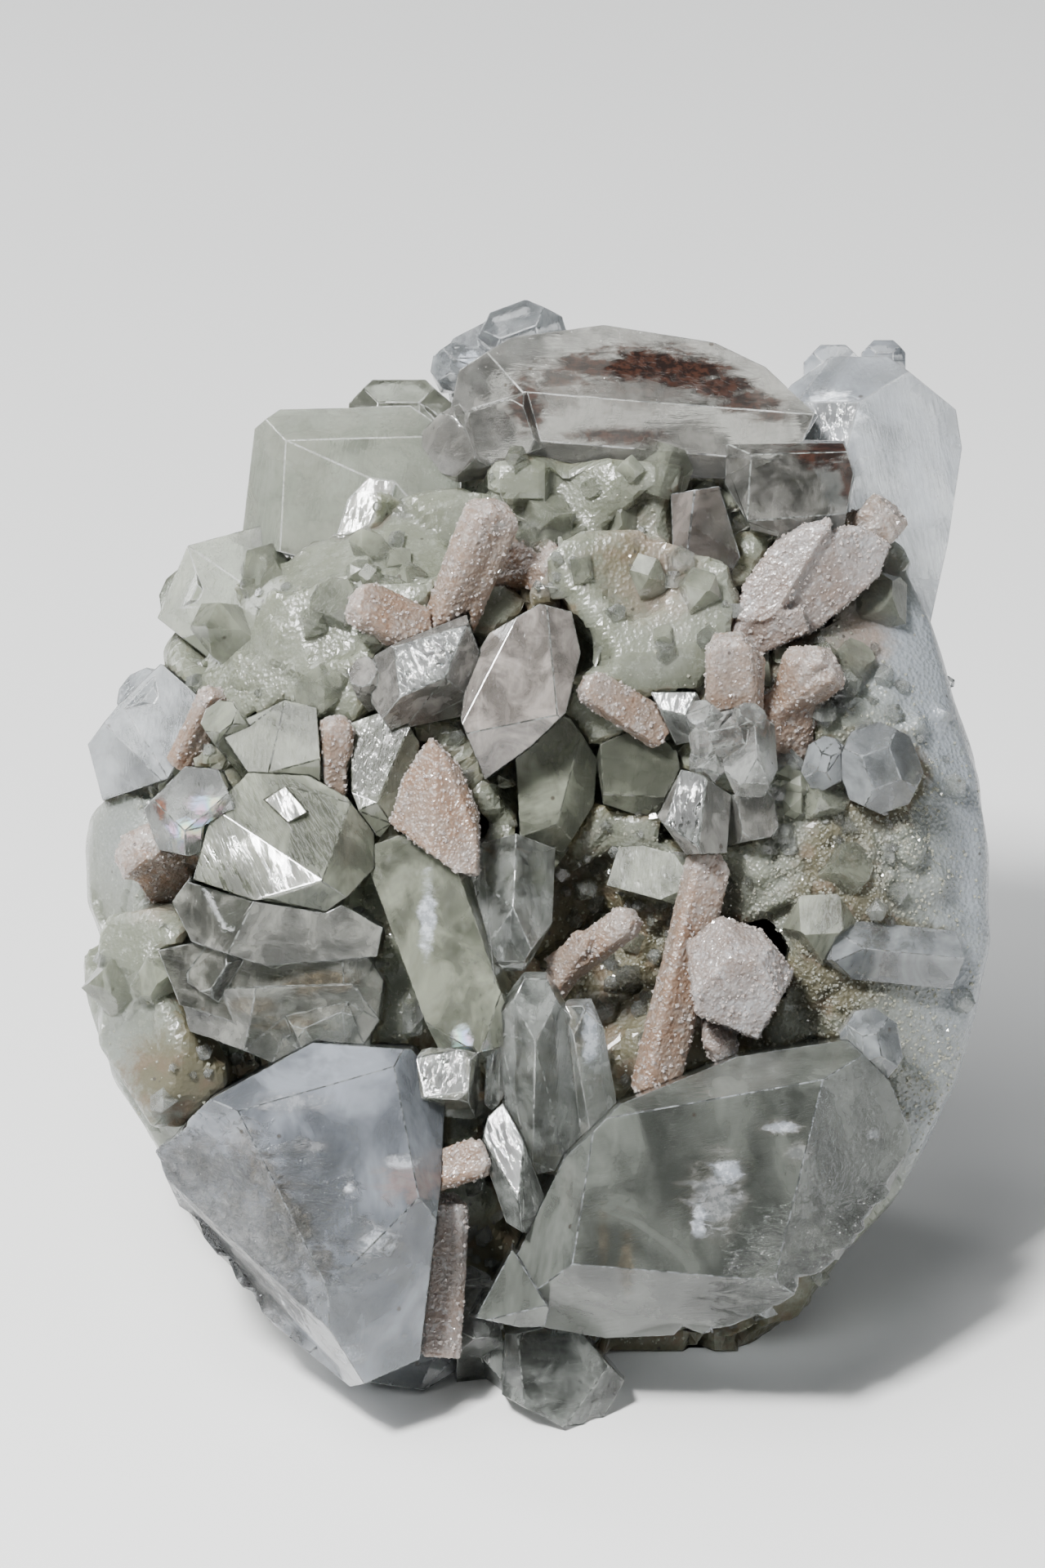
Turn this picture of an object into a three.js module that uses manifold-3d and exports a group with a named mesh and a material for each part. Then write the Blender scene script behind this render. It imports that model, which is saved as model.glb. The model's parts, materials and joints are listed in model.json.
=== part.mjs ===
// A cluster of pale green and colourless apophyllite crystals with peach-coloured stilbite blades,
// grown on a lump of milky host rock. It stands on a flat break and its crystal face leans back.
// Lengths are in millimetres and angles in degrees. +Z is up and the crystal face looks along -Y.
import * as THREE from "three";
import { mergeVertices } from "three/addons/utils/BufferGeometryUtils.js";
import Module from "manifold-3d";

const wasm = await Module();
wasm.setup();

// Driving dimensions
const faceLean = 25; // how far the crystal face leans back from upright
const floorBelowCentre = 31.4; // height of the face's centre above the surface it stands on
const seatGap = 0.3; // clearance round a crystal in its seat
const pyramidSlope = 60.5; // angle between an apophyllite pyramid face and the flat end
const stockSize = 200; // a block that every crystal is cut from

// The face frame: x to the right, y up along the face and z out of it, from the face's centre.
const rad = THREE.MathUtils.degToRad;
const vec = (list) => new THREE.Vector3(...list);
const unit = (list) => vec(list).normalize();

// Facets that share this direction flash together when light comes from the upper left.
const flash = [-0.19, 0.29, 0.94];

// Cut planes. A plane keeps what lies behind it: normal . point <= reach.
const plane = (normal, reach) => ({ normal: unit(normal), reach });
const facet = (normal, through) => plane(normal, unit(normal).dot(vec(through)));
const floorPlane = plane([0, -Math.cos(rad(faceLean)), -Math.sin(rad(faceLean))], floorBelowCentre);

function solidFrom(geometry) {
  const bare = new THREE.BufferGeometry().setAttribute("position", geometry.getAttribute("position"));
  bare.setIndex(geometry.index);
  const welded = mergeVertices(bare, 1e-4);
  return new wasm.Manifold(
    new wasm.Mesh({
      numProp: 3,
      vertProperties: new Float32Array(welded.attributes.position.array),
      triVerts: new Uint32Array(welded.index.array),
    }),
  );
}

const stock = solidFrom(new THREE.BoxGeometry(stockSize, stockSize, stockSize));

// Cuts the stock down to the planes, each moved outwards by grow.
function cutFromStock(planes, grow = 0) {
  return planes.reduce(
    (solid, { normal, reach }) =>
      solid.trimByPlane(normal.clone().negate().toArray(), -(reach + grow)),
    stock,
  );
}

const joined = (solids) => solids.slice(1).reduce((sum, next) => sum.add(next), solids[0]);

// A crystal seen face on: walls along an outline, a front of flat facets and a buried back.
function block({ outline, back, facets }) {
  const centre = outline.reduce((sum, [x, y]) => sum.add(new THREE.Vector2(x, y)), new THREE.Vector2());
  centre.divideScalar(outline.length);
  const walls = outline.map(([x, y], i) => {
    const [nextX, nextY] = outline[(i + 1) % outline.length];
    const wall = new THREE.Vector2(nextY - y, x - nextX).normalize();
    if (wall.dot(new THREE.Vector2(x, y).sub(centre)) < 0) wall.negate();
    return facet([wall.x, wall.y, 0], [x, y, 0]);
  });
  const front = facets.map(([normal, through]) => facet(normal, through));
  return [...walls, ...front, plane([0, 0, -1], -back), floorPlane];
}

// Turns local cut planes, whose z runs along axis, and moves them to a place on the face.
function placed(planes, { at, axis, roll = 0 }) {
  const turn = new THREE.Quaternion().setFromUnitVectors(new THREE.Vector3(0, 0, 1), unit(axis));
  turn.multiply(new THREE.Quaternion().setFromAxisAngle(new THREE.Vector3(0, 0, 1), rad(roll)));
  const moved = planes.map(({ normal, reach }) => {
    const turned = normal.clone().applyQuaternion(turn);
    return { normal: turned, reach: reach + turned.dot(vec(at)) };
  });
  return [...moved, floorPlane];
}

// Apophyllite: a square prism with a flat end, and four pyramid faces that cut its edges.
// The pyramid meets the prism's edges at the shoulder, measured along the axis from the middle.
function prism({ half, tip, root, shoulder, ...place }) {
  const [halfX, halfY] = half;
  const sides = [
    plane([1, 0, 0], halfX),
    plane([-1, 0, 0], halfX),
    plane([0, 1, 0], halfY),
    plane([0, -1, 0], halfY),
    plane([0, 0, 1], tip),
    plane([0, 0, -1], root),
  ];
  const out = Math.sin(rad(pyramidSlope)) * Math.SQRT1_2;
  const up = Math.cos(rad(pyramidSlope));
  const pyramid = [
    [1, 1],
    [1, -1],
    [-1, 1],
    [-1, -1],
  ].map(([x, y]) => plane([x * out, y * out, up], (halfX + halfY) * out + shoulder * up));
  return placed([...sides, ...pyramid], place);
}

// Stilbite: a flat blade with bevelled edges and a blunt chisel end.
function blade({ width, thick, tip, root, ...place }) {
  const bevel = rad(58);
  const bevelDepth = 0.86;
  const bevelReach = bevelDepth * ((width / 2) * Math.cos(bevel) + (thick / 2) * Math.sin(bevel));
  const chisel = rad(48);
  const lip = rad(34);
  const planes = [plane([0, 0, 1], tip), plane([0, 0, -1], root)];
  for (const side of [-1, 1]) {
    planes.push(plane([side, 0, 0], width / 2));
    planes.push(plane([0, side, 0], thick / 2));
    planes.push(plane([side * Math.cos(bevel), Math.sin(bevel), 0], bevelReach));
    planes.push(plane([side * Math.cos(bevel), -Math.sin(bevel), 0], bevelReach));
    planes.push(
      plane([side * Math.sin(chisel), 0, Math.cos(chisel)], tip * Math.cos(chisel) + 0.16 * width),
    );
    planes.push(plane([0, side * Math.sin(lip), Math.cos(lip)], tip * Math.cos(lip) + 0.14 * thick));
  }
  return placed(planes, place);
}

// A sheaf: blades that fan out from one root, as stilbite does.
function sheaf({ count, fan, ...shape }) {
  const axis = unit(shape.axis);
  const hinge = new THREE.Vector3(0, 0, 1).cross(axis).normalize().cross(axis).normalize();
  return Array.from({ length: count }, (_, i) => {
    const swing = rad(fan * (i - (count - 1) / 2));
    const turned = axis.clone().applyAxisAngle(hinge, swing);
    const shrink = 1 - 0.09 * Math.abs(i - (count - 1) / 2);
    return blade({
      ...shape,
      axis: turned.toArray(),
      tip: shape.tip * shrink,
      thick: shape.thick * (1 + 0.07 * i),
    });
  });
}

// A rounded, many-faced grain: planes that touch an ellipsoid, square on and halfway between.
function grain({ radii, ...place }) {
  const steps = [-1, 0, 1];
  const directions = steps
    .flatMap((x) => steps.flatMap((y) => steps.map((z) => [x, y, z])))
    .filter((direction) => [1, 2].includes(direction.filter(Boolean).length));
  const planes = directions.map((direction) => {
    const normal = unit(direction);
    return { normal, reach: normal.clone().multiply(vec(radii)).length() };
  });
  return placed(planes, { axis: [0, 0, 1], ...place });
}

// Apophyllite crystals, from the front of the cluster to its edges

const lowerLeft = [
  block({
    outline: [
      [-24.9, -18.9], [-21.2, -15.4], [-14.6, -11.8], [-8.1, -12.2], [-5.9, -14.8], [-6.2, -21.9],
      [-6.9, -27.3], [-7.5, -32.4], [-12.1, -34.3], [-17.6, -30.2], [-23.4, -22.6],
    ],
    back: -10,
    facets: [
      [[0.15, 0.2, 0.97], [-14, -26.5, 13]],
      [[-0.62, -0.22, 0.75], [-14, -26.5, 13]],
      [[0.5, -0.2, 0.843], [-10.3, -24.5, 12]],
      [[-0.1, 0.8, 0.59], [-11, -12.5, 8.2]],
      [[0.8, 0.25, 0.54], [-6.6, -17, 7.4]],
      [[-0.72, -0.62, 0.3], [-20.4, -26.9, 2.5]],
      [[-0.45, -0.5, -0.74], [-20, -26, -1.5]],
    ],
  }),
];

const lowerRight = [
  block({
    outline: [
      [-3, -29.4], [1.9, -19.2], [5.5, -15.7], [13.2, -12.7], [20.4, -11.6], [23.2, -14.3],
      [24.7, -18.2], [23.2, -21.6], [20.9, -24.8], [15.7, -28.9], [11.6, -30.8], [4.6, -31.2],
      [0.3, -30.4],
    ],
    back: -10,
    facets: [
      [[0.04, 0.12, 0.99], [10, -22, 12]],
      [[0.62, -0.05, 0.78], [21, -18, 8.6]],
      [[-0.12, 0.86, 0.5], [13, -13.6, 8.5]],
      [[-0.05, -0.8, 0.6], [8, -30.3, 7.5]],
      [[-0.8, 0.2, 0.57], [-0.4, -24, 8.2]],
      [[0.6, -0.3, -0.74], [24, -20, -0.5]],
    ],
  }),
  block({
    outline: [[-3.9, -29.6], [-1.5, -25.1], [0.9, -29], [0.6, -30.2], [-0.9, -30.3]],
    back: 2,
    facets: [
      [[-0.2, 0.05, 0.98], [-1.5, -28.5, 10.4]],
      [[0.05, -0.7, 0.7], [-1.6, -29.7, 10.1]],
    ],
  }),
];

const leftDome = [
  block({
    outline: [
      [-22.4, -1.1], [-21.2, 3.5], [-18.9, 5.9], [-14.9, 5.7], [-12.4, 4.3], [-10.6, 1.9],
      [-10.6, -0.4], [-12.2, -2.2], [-13.8, -3], [-18.4, -2.2],
    ],
    back: -9,
    facets: [
      [[-0.02, 0.5, 0.86], [-15.5, 2, 6]],
      [flash, [-16, -0.7, 7.3]],
      [[0.15, -0.68, 0.71], [-14.4, -2.3, 7]],
      [[0.7, 0.15, 0.7], [-11.7, 1, 5.2]],
    ],
  }),
  block({
    outline: [[-17.8, 4.1], [-16.4, 5], [-14.9, 3.3], [-16.2, 2.6]],
    back: 1,
    facets: [[flash, [-16.4, 3.7, 5.5]]],
  }),
];

const leftClear = [
  block({
    outline: [
      [-25.8, 3.5], [-23, 6.3], [-20.8, 6.1], [-19.6, 3.5], [-20, 2.2], [-22.7, 0.4], [-24.8, 0.8],
    ],
    back: -7,
    facets: [
      [[-0.35, 0.35, 0.87], [-22.6, 3.6, 5.4]],
      [[0.35, -0.45, 0.82], [-21.6, 1.9, 5.2]],
      [[-0.75, -0.3, 0.6], [-24.6, 2, 3.8]],
    ],
  }),
];

const brokenPlates = [
  block({
    outline: [
      [-23.9, -2.6], [-22.4, -0.6], [-17, -1.6], [-12.4, -2.9], [-10, -4.3], [-10.4, -6.2],
      [-17.6, -6.8], [-22.6, -5.2],
    ],
    back: -7,
    facets: [
      [[0.16, -0.28, 0.95], [-16.5, -4, 6.6]],
      [[-0.55, 0.1, 0.83], [-20.6, -3.4, 6]],
    ],
  }),
  block({
    outline: [
      [-24.8, -5.8], [-19.4, -4.6], [-11.6, -5.4], [-10, -7.8], [-10.3, -10.4], [-16.4, -11.6],
      [-23.4, -9.4],
    ],
    back: -7,
    facets: [
      [[-0.06, -0.16, 0.985], [-17, -8, 4.4]],
      [[0.5, -0.1, 0.86], [-11.4, -8, 4]],
    ],
  }),
  block({
    outline: [[-23.6, -8.4], [-12, -8], [-10.2, -10.4], [-11.4, -11.9], [-16.8, -13.2], [-22.8, -11.2]],
    back: -7,
    facets: [
      [[0.02, -0.42, 0.9], [-17, -10.8, 4.2]],
      [[-0.45, -0.3, 0.84], [-21.4, -10.4, 3]],
    ],
  }),
  prism({
    at: [-14.2, -10.4, 3.9], axis: [0.35, -0.5, 0.79], roll: 20, half: [2, 1.1],
    tip: 1.6, root: 4, shoulder: 0.8,
  }),
  prism({
    at: [-20.8, -7.2, 3.6], axis: [-0.5, 0.2, 0.84], roll: 55, half: [1.6, 1.2],
    tip: 1.5, root: 4, shoulder: 0.7,
  }),
];

const leftPrism = [
  prism({
    at: [-5.8, -5.4, 3.2], axis: [0.33, -0.92, 0.2], roll: 28, half: [2.7, 2.6],
    tip: 8, root: 7.4, shoulder: 4.8,
  }),
  prism({
    at: [-4.2, -8.6, 4.4], axis: [0.28, -0.93, 0.24], roll: 40, half: [1.2, 1.5],
    tip: 3.9, root: 5, shoulder: 2.9,
  }),
];

const smallCube = [
  prism({
    at: [-5.8, -14.2, 6.3], axis: [-0.1, 0.25, 0.96], roll: -4, half: [1.7, 1.7],
    tip: 1.7, root: 4, shoulder: 0.9,
  }),
];

const clearPrisms = [
  prism({
    at: [0, -13, 4.6], axis: [0, 0.95, 0.3], roll: 45, half: [2, 2],
    tip: 5.9, root: 7, shoulder: 2.2,
  }),
  prism({
    at: [3.3, -13.4, 4], axis: [-0.14, 0.96, 0.25], roll: 30, half: [1.1, 1.4],
    tip: 4.4, root: 5, shoulder: 2.7,
  }),
  prism({
    at: [-1.9, -12.2, 4.6], axis: [0.1, 0.98, 0.15], roll: 20, half: [0.8, 0.9],
    tip: 2.5, root: 4, shoulder: 1.5,
  }),
];

const flashPrism = [
  block({
    outline: [
      [-2.1, -15.7], [-3.1, -16.6], [-3.6, -18.6], [-1.9, -23.5], [-0.8, -24.1], [0.5, -22.2],
      [-0.8, -18.1],
    ],
    back: -3,
    facets: [
      [flash, [-1.7, -20, 8.8]],
      [[0.78, 0.1, 0.62], [-0.3, -20.6, 8.3]],
      [[-0.72, -0.12, 0.68], [-2.9, -18.9, 8.2]],
    ],
  }),
];

const kite = [
  block({
    outline: [
      [-10.6, 13.6], [-9.2, 14.4], [-4.5, 16.3], [-3.9, 13.8], [-4.9, 9.7], [-9.5, 8.6], [-10.8, 10.5],
    ],
    back: -7,
    facets: [
      [flash, [-7.2, 13, 5]],
      [[-0.8, 0.1, 0.59], [-9.1, 12.3, 4.8]],
      [[0.8, -0.2, 0.56], [-5.2, 13.2, 4.9]],
      [[0.3, -0.78, 0.55], [-7.6, 11.2, 5.2]],
      [[-0.3, 0.84, 0.45], [-7.1, 14.9, 4.3]],
    ],
  }),
  prism({
    at: [-10.6, 11.6, 1.2], axis: [-0.4, 0.5, 0.77], roll: 15, half: [1, 1.2],
    tip: 1.9, root: 4, shoulder: 1,
  }),
];

const centreCrystal = [
  block({
    outline: [
      [-4.9, 9.3], [-4.5, 12.7], [-3, 15.1], [0.3, 17], [2.4, 16.5], [3, 13.8], [2, 9.8], [-0.3, 7.6],
      [-3.3, 5.4],
    ],
    back: -6,
    facets: [
      [[-0.05, 0.18, 0.98], [-0.8, 11.5, 4.9]],
      [[-0.62, 0.42, 0.66], [-2.9, 13.4, 4.2]],
      [[0.66, 0.2, 0.72], [1.7, 13, 4.2]],
      [[0.1, -0.55, 0.83], [-1.4, 8.6, 5]],
    ],
  }),
];

const smallPyramid = [
  block({
    outline: [[7.6, 11.2], [10.6, 11.2], [12, 8.3], [9.3, 7.7]],
    back: -4,
    facets: [
      [flash, [9.2, 10.5, 3.3]],
      [[-0.35, -0.62, 0.7], [9, 9.8, 3.4]],
      [[0.72, -0.2, 0.66], [10.5, 9.8, 3.1]],
    ],
  }),
];

const rightCube = [
  block({
    outline: [[9.6, 6.1], [8, 3], [9.9, 0.5], [12.6, 0.6], [12.9, 4.4], [10.8, 5.8]],
    back: -5,
    facets: [
      [flash, [10.2, 3.1, 5.4]],
      [[0.72, 0.1, 0.68], [11.3, 3, 5.2]],
      [[-0.72, 0.36, 0.6], [9.2, 4.4, 4.9]],
      [[-0.62, -0.5, 0.6], [8.9, 1.8, 5]],
    ],
  }),
  prism({
    at: [14, 2.9, 1.4], axis: [0.3, 0.1, 0.95], roll: 10, half: [1.3, 1.6],
    tip: 2.2, root: 4, shoulder: 1.4,
  }),
];

const rightClearGroup = [
  grain({ at: [12.5, 8.2, 3.2], radii: [2.4, 1.7, 2.2], roll: 12 }),
  prism({
    at: [14.1, 7, 4.2], axis: [0.05, -0.88, 0.47], roll: 38, half: [1.35, 1.2],
    tip: 2.6, root: 2.4, shoulder: 1.1,
  }),
  prism({
    at: [11.5, 7, 3.6], axis: [-0.2, -0.8, 0.56], roll: 20, half: [1, 0.9],
    tip: 1.7, root: 2, shoulder: 0.7,
  }),
  prism({
    at: [11.6, 9, 3.4], axis: [-0.5, 0.55, 0.67], roll: 50, half: [0.9, 1],
    tip: 1.6, root: 2, shoulder: 0.9,
  }),
  prism({
    at: [13.7, 9, 4], axis: [0.4, 0.6, 0.69], roll: 5, half: [1, 0.8],
    tip: 1.4, root: 2, shoulder: 0.7,
  }),
];

const hangingCrystal = [
  prism({
    at: [-1.5, -2.4, 1.9], axis: [-0.04, -0.94, 0.34], roll: 42, half: [1.95, 1.9],
    tip: 4.7, root: 3.6, shoulder: 1.6,
  }),
];

const greenTall = [
  block({
    outline: [[-1.2, 8.9], [2.4, 9.5], [4.1, 6.8], [3.9, 3.8], [1.9, 0.6], [-1, 1.2]],
    back: -8,
    facets: [
      [[-0.2, 0.1, 0.97], [1, 5.5, 1.2]],
      [[0.7, -0.15, 0.7], [3, 5, 0.6]],
      [[0.1, -0.7, 0.7], [1, 1.8, 1]],
    ],
  }),
];

const greenBlock = [
  block({
    outline: [[4.3, 7.8], [7.3, 9.1], [9.4, 7.3], [9.4, 3.8], [7.3, 2.9], [4.5, 3.8]],
    back: -8,
    facets: [
      [[0.08, 0.06, 0.99], [6.8, 6, 0.8]],
      [[0.05, -0.75, 0.66], [7, 3.9, 0.3]],
    ],
  }),
];

const topCrystal = [
  block({
    outline: [
      [-5.8, 29.6], [-5.1, 32.8], [-1.6, 35], [4.6, 35.9], [12, 34.7], [15.4, 33], [18.6, 29.8],
      [17.8, 27.9], [13.2, 25.5], [6.8, 25.6], [1.9, 26.6], [-3, 27.4],
    ],
    back: -17,
    facets: [
      [[0.06, 0.66, 0.75], [5, 33, -4.8]],
      [[0.02, 0.1, 0.99], [5, 29.5, -2.7]],
      [[-0.05, -0.72, 0.69], [6, 27, -3]],
      [[-0.62, 0.1, 0.78], [-2.6, 30, -4]],
    ],
  }),
  prism({
    at: [-1.6, 29, -4.6], axis: [-0.3, -0.2, 0.93], roll: 18, half: [2.2, 1.9],
    tip: 2.6, root: 6, shoulder: 1.7,
  }),
  prism({
    at: [-4.6, 28, -7], axis: [-0.5, -0.1, 0.86], roll: 40, half: [1.7, 2],
    tip: 2.4, root: 6, shoulder: 1.4,
  }),
];

const topSmall = [
  block({
    outline: [
      [12.7, 27.7], [20.5, 27.8], [21.1, 25.7], [20.5, 22.4], [18.1, 21], [14.3, 22], [12.6, 25.1],
    ],
    back: -12,
    facets: [
      [[0.06, 0.08, 0.995], [17, 25, -0.3]],
      [[0, 0.9, 0.43], [17, 27.5, -1.4]],
      [[-0.7, 0.1, 0.7], [13.4, 25, -0.9]],
      [[0.1, -0.6, 0.79], [17, 22.4, -0.4]],
    ],
  }),
];

const rearPrism = [
  block({
    outline: [
      [15.8, 28.4], [17.2, 32], [20, 34], [23.8, 34], [28.4, 30.4], [28.8, 27.8], [27.8, 21.4],
      [26, 13.6], [22.4, 14], [19.4, 23.6],
    ],
    back: -20,
    facets: [
      [[0.42, 0.12, 0.9], [24.6, 26, -9.2]],
      [flash, [19.8, 29.9, -8.6]],
      [[-0.1, 0.75, 0.65], [22, 33, -11]],
    ],
  }),
  grain({ at: [20.2, 33, -15], radii: [2, 1.9, 2] }),
  grain({ at: [23.6, 33.8, -14.5], radii: [1.5, 1.4, 1.6] }),
];

const topKnobs = [
  grain({ at: [-0.7, 34.4, -15], radii: [3.2, 3.3, 3.4], roll: 20 }),
  grain({ at: [-5, 33.2, -13.5], radii: [2, 1.6, 2.4], roll: -10 }),
  prism({
    at: [-3, 33, -15], axis: [-0.1, 0.5, 0.86], roll: 30, half: [2.6, 2],
    tip: 3, root: 6, shoulder: 1.6,
  }),
];

const upperLeft = [
  block({
    outline: [
      [-18.9, 29.1], [-17.2, 30.4], [-8.4, 30.6], [-5.1, 28.4], [-5.1, 20.3], [-12.7, 19.5],
      [-19.8, 21.4],
    ],
    back: -20,
    facets: [
      [[0.02, 0.1, 0.99], [-12, 25, -7.8]],
      [[0, 0.82, 0.57], [-12, 28.6, -8.6]],
      [[-0.8, 0.1, 0.6], [-18, 25, -9.2]],
    ],
  }),
  block({
    outline: [[-13.7, 20.2], [-12, 25.8], [-9.4, 25.4], [-10.6, 20]],
    back: -14,
    facets: [[flash, [-11.6, 22.8, -7.1]]],
  }),
  grain({ at: [-9.2, 30.2, -15], radii: [3.4, 2.3, 3.4] }),
];

const leftEdgeUpper = [
  block({
    outline: [[-25.4, 16.3], [-23.4, 21.2], [-18.4, 22.6], [-17.4, 17], [-21.2, 13]],
    back: -22,
    facets: [
      [[-0.38, 0.32, 0.87], [-20.8, 18, -8.4]],
      [[-0.1, -0.5, 0.86], [-21, 15, -8.2]],
    ],
  }),
  prism({
    at: [-22.2, 17.2, -12], axis: [-0.7, 0.4, 0.59], roll: 25, half: [1.8, 1.7],
    tip: 2.6, root: 5, shoulder: 1.5,
  }),
];

const leftEdgeLower = [
  block({
    outline: [[-30, 7.8], [-27.9, 10.4], [-25, 13.2], [-21.9, 10.5], [-24.4, 5.5], [-29, 4]],
    back: -18,
    facets: [
      [[-0.36, 0.3, 0.88], [-25.4, 8.4, -4.6]],
      [[-0.7, -0.2, 0.68], [-28.2, 6.6, -6.4]],
    ],
  }),
  prism({
    at: [-25.2, 10.2, -8], axis: [-0.6, 0.55, 0.58], roll: 10, half: [1.6, 1.5],
    tip: 2.5, root: 5, shoulder: 1.4,
  }),
];

const leftBackBlock = [
  block({
    outline: [[-20.8, 8.6], [-16.5, 10.7], [-14.4, 10.2], [-14, 5.2], [-19, 6]],
    back: -8,
    facets: [
      [[0, 0.38, 0.92], [-16, 8, 2.6]],
      [[0.15, -0.4, 0.9], [-16.6, 6.1, 3.2]],
    ],
  }),
  prism({
    at: [-19.9, 8.4, 0.4], axis: [-0.4, 0.5, 0.77], roll: 33, half: [1.3, 1.2],
    tip: 2.4, root: 4, shoulder: 1.4,
  }),
];

const innerLeft = [
  block({
    outline: [[-12.2, 9.2], [-9.6, 10], [-7.6, 7.8], [-8.6, 3.6], [-10.2, 1.6], [-12.1, 4.6]],
    back: -6,
    facets: [
      [[-0.16, 0.24, 0.96], [-10.4, 6, 2.8]],
      [[0.62, -0.1, 0.78], [-8.9, 6, 2.4]],
      [[0.1, -0.5, 0.86], [-10.2, 3.4, 3]],
    ],
  }),
];

const upperRightShard = [
  block({
    outline: [[9, 24.4], [12.2, 24.9], [13.6, 20.2], [12.2, 17.8], [9.2, 18.4]],
    back: -9,
    facets: [
      [[0.12, 0.02, 0.99], [11, 21.5, -0.8]],
      [[-0.6, 0.1, 0.79], [9.8, 21.5, -1]],
      [[0.2, -0.6, 0.77], [11, 19, -0.9]],
    ],
  }),
];

const rightOval = [grain({ at: [22.7, 6.2, 1.4], radii: [2.6, 2.9, 3], roll: 20 })];
const rightOvalSmall = [grain({ at: [19, 6.5, 1.4], radii: [1.3, 1.8, 2.4], roll: -15 })];
const lowOval = [grain({ at: [22, -12, 4.4], radii: [1.9, 2.4, 3.4], roll: 10 })];

const arrowCrystal = [
  prism({
    at: [23.6, -6.1, 0.6], axis: [-0.95, 0.1, 0.3], roll: 45, half: [1.4, 1.4],
    tip: 4.6, root: 4.4, shoulder: 2.6,
  }),
];

const bottomClear = [
  block({
    outline: [[-2, -31], [2.4, -30.6], [5.9, -34.1], [4.4, -36.7], [1.9, -37.1], [-2.2, -35]],
    back: -6,
    facets: [
      [[0.1, 0.12, 0.99], [1.6, -33.6, 5.6]],
      [[0.6, -0.3, 0.74], [4.6, -35, 4.6]],
      [[-0.75, 0, 0.66], [-1.4, -33, 5.3]],
    ],
  }),
];

const bottomMid = [
  prism({
    at: [-4.2, -31, -0.6], axis: [0.02, 0.55, 0.83], roll: 12, half: [1.6, 2.8],
    tip: 3.6, root: 5, shoulder: 2.2,
  }),
  prism({
    at: [-2.4, -33.4, -0.4], axis: [0.2, 0.1, 0.97], roll: 30, half: [1.1, 1.4],
    tip: 2.6, root: 5, shoulder: 1.6,
  }),
];

const bottomLeft = [
  block({
    outline: [[-9.8, -31.4], [-5.9, -29.6], [-5.6, -33.8], [-7.3, -34.9], [-11, -34.4]],
    back: -7,
    facets: [
      [[-0.12, 0.06, 0.99], [-8, -32.6, 1.4]],
      [[0.6, -0.2, 0.77], [-6.3, -32.4, 1.2]],
    ],
  }),
];

const backSpire = [
  prism({
    at: [-9, 12, -21], axis: [-0.35, 0.35, -0.87], roll: 15, half: [4.6, 4.2],
    tip: 6, root: 8, shoulder: 3.2,
  }),
  prism({
    at: [-4, 15.5, -21], axis: [0.1, 0.55, -0.83], roll: 40, half: [2.9, 2.7],
    tip: 5.4, root: 7, shoulder: 3.4,
  }),
];

const backBlock = [
  prism({
    at: [11, 2, -22], axis: [0.42, -0.05, -0.9], roll: 30, half: [4.2, 5],
    tip: 5, root: 8, shoulder: 3,
  }),
  prism({
    at: [14.5, -4.6, -20], axis: [0.6, -0.4, -0.69], roll: 12, half: [2.6, 2.8],
    tip: 4.6, root: 7, shoulder: 2.6,
  }),
];

const backTop = [
  prism({
    at: [9, 23, -20], axis: [0.3, 0.6, -0.74], roll: 22, half: [4, 3.6],
    tip: 5, root: 8, shoulder: 2.8,
  }),
];

// Stilbite blades and sheaves

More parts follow.
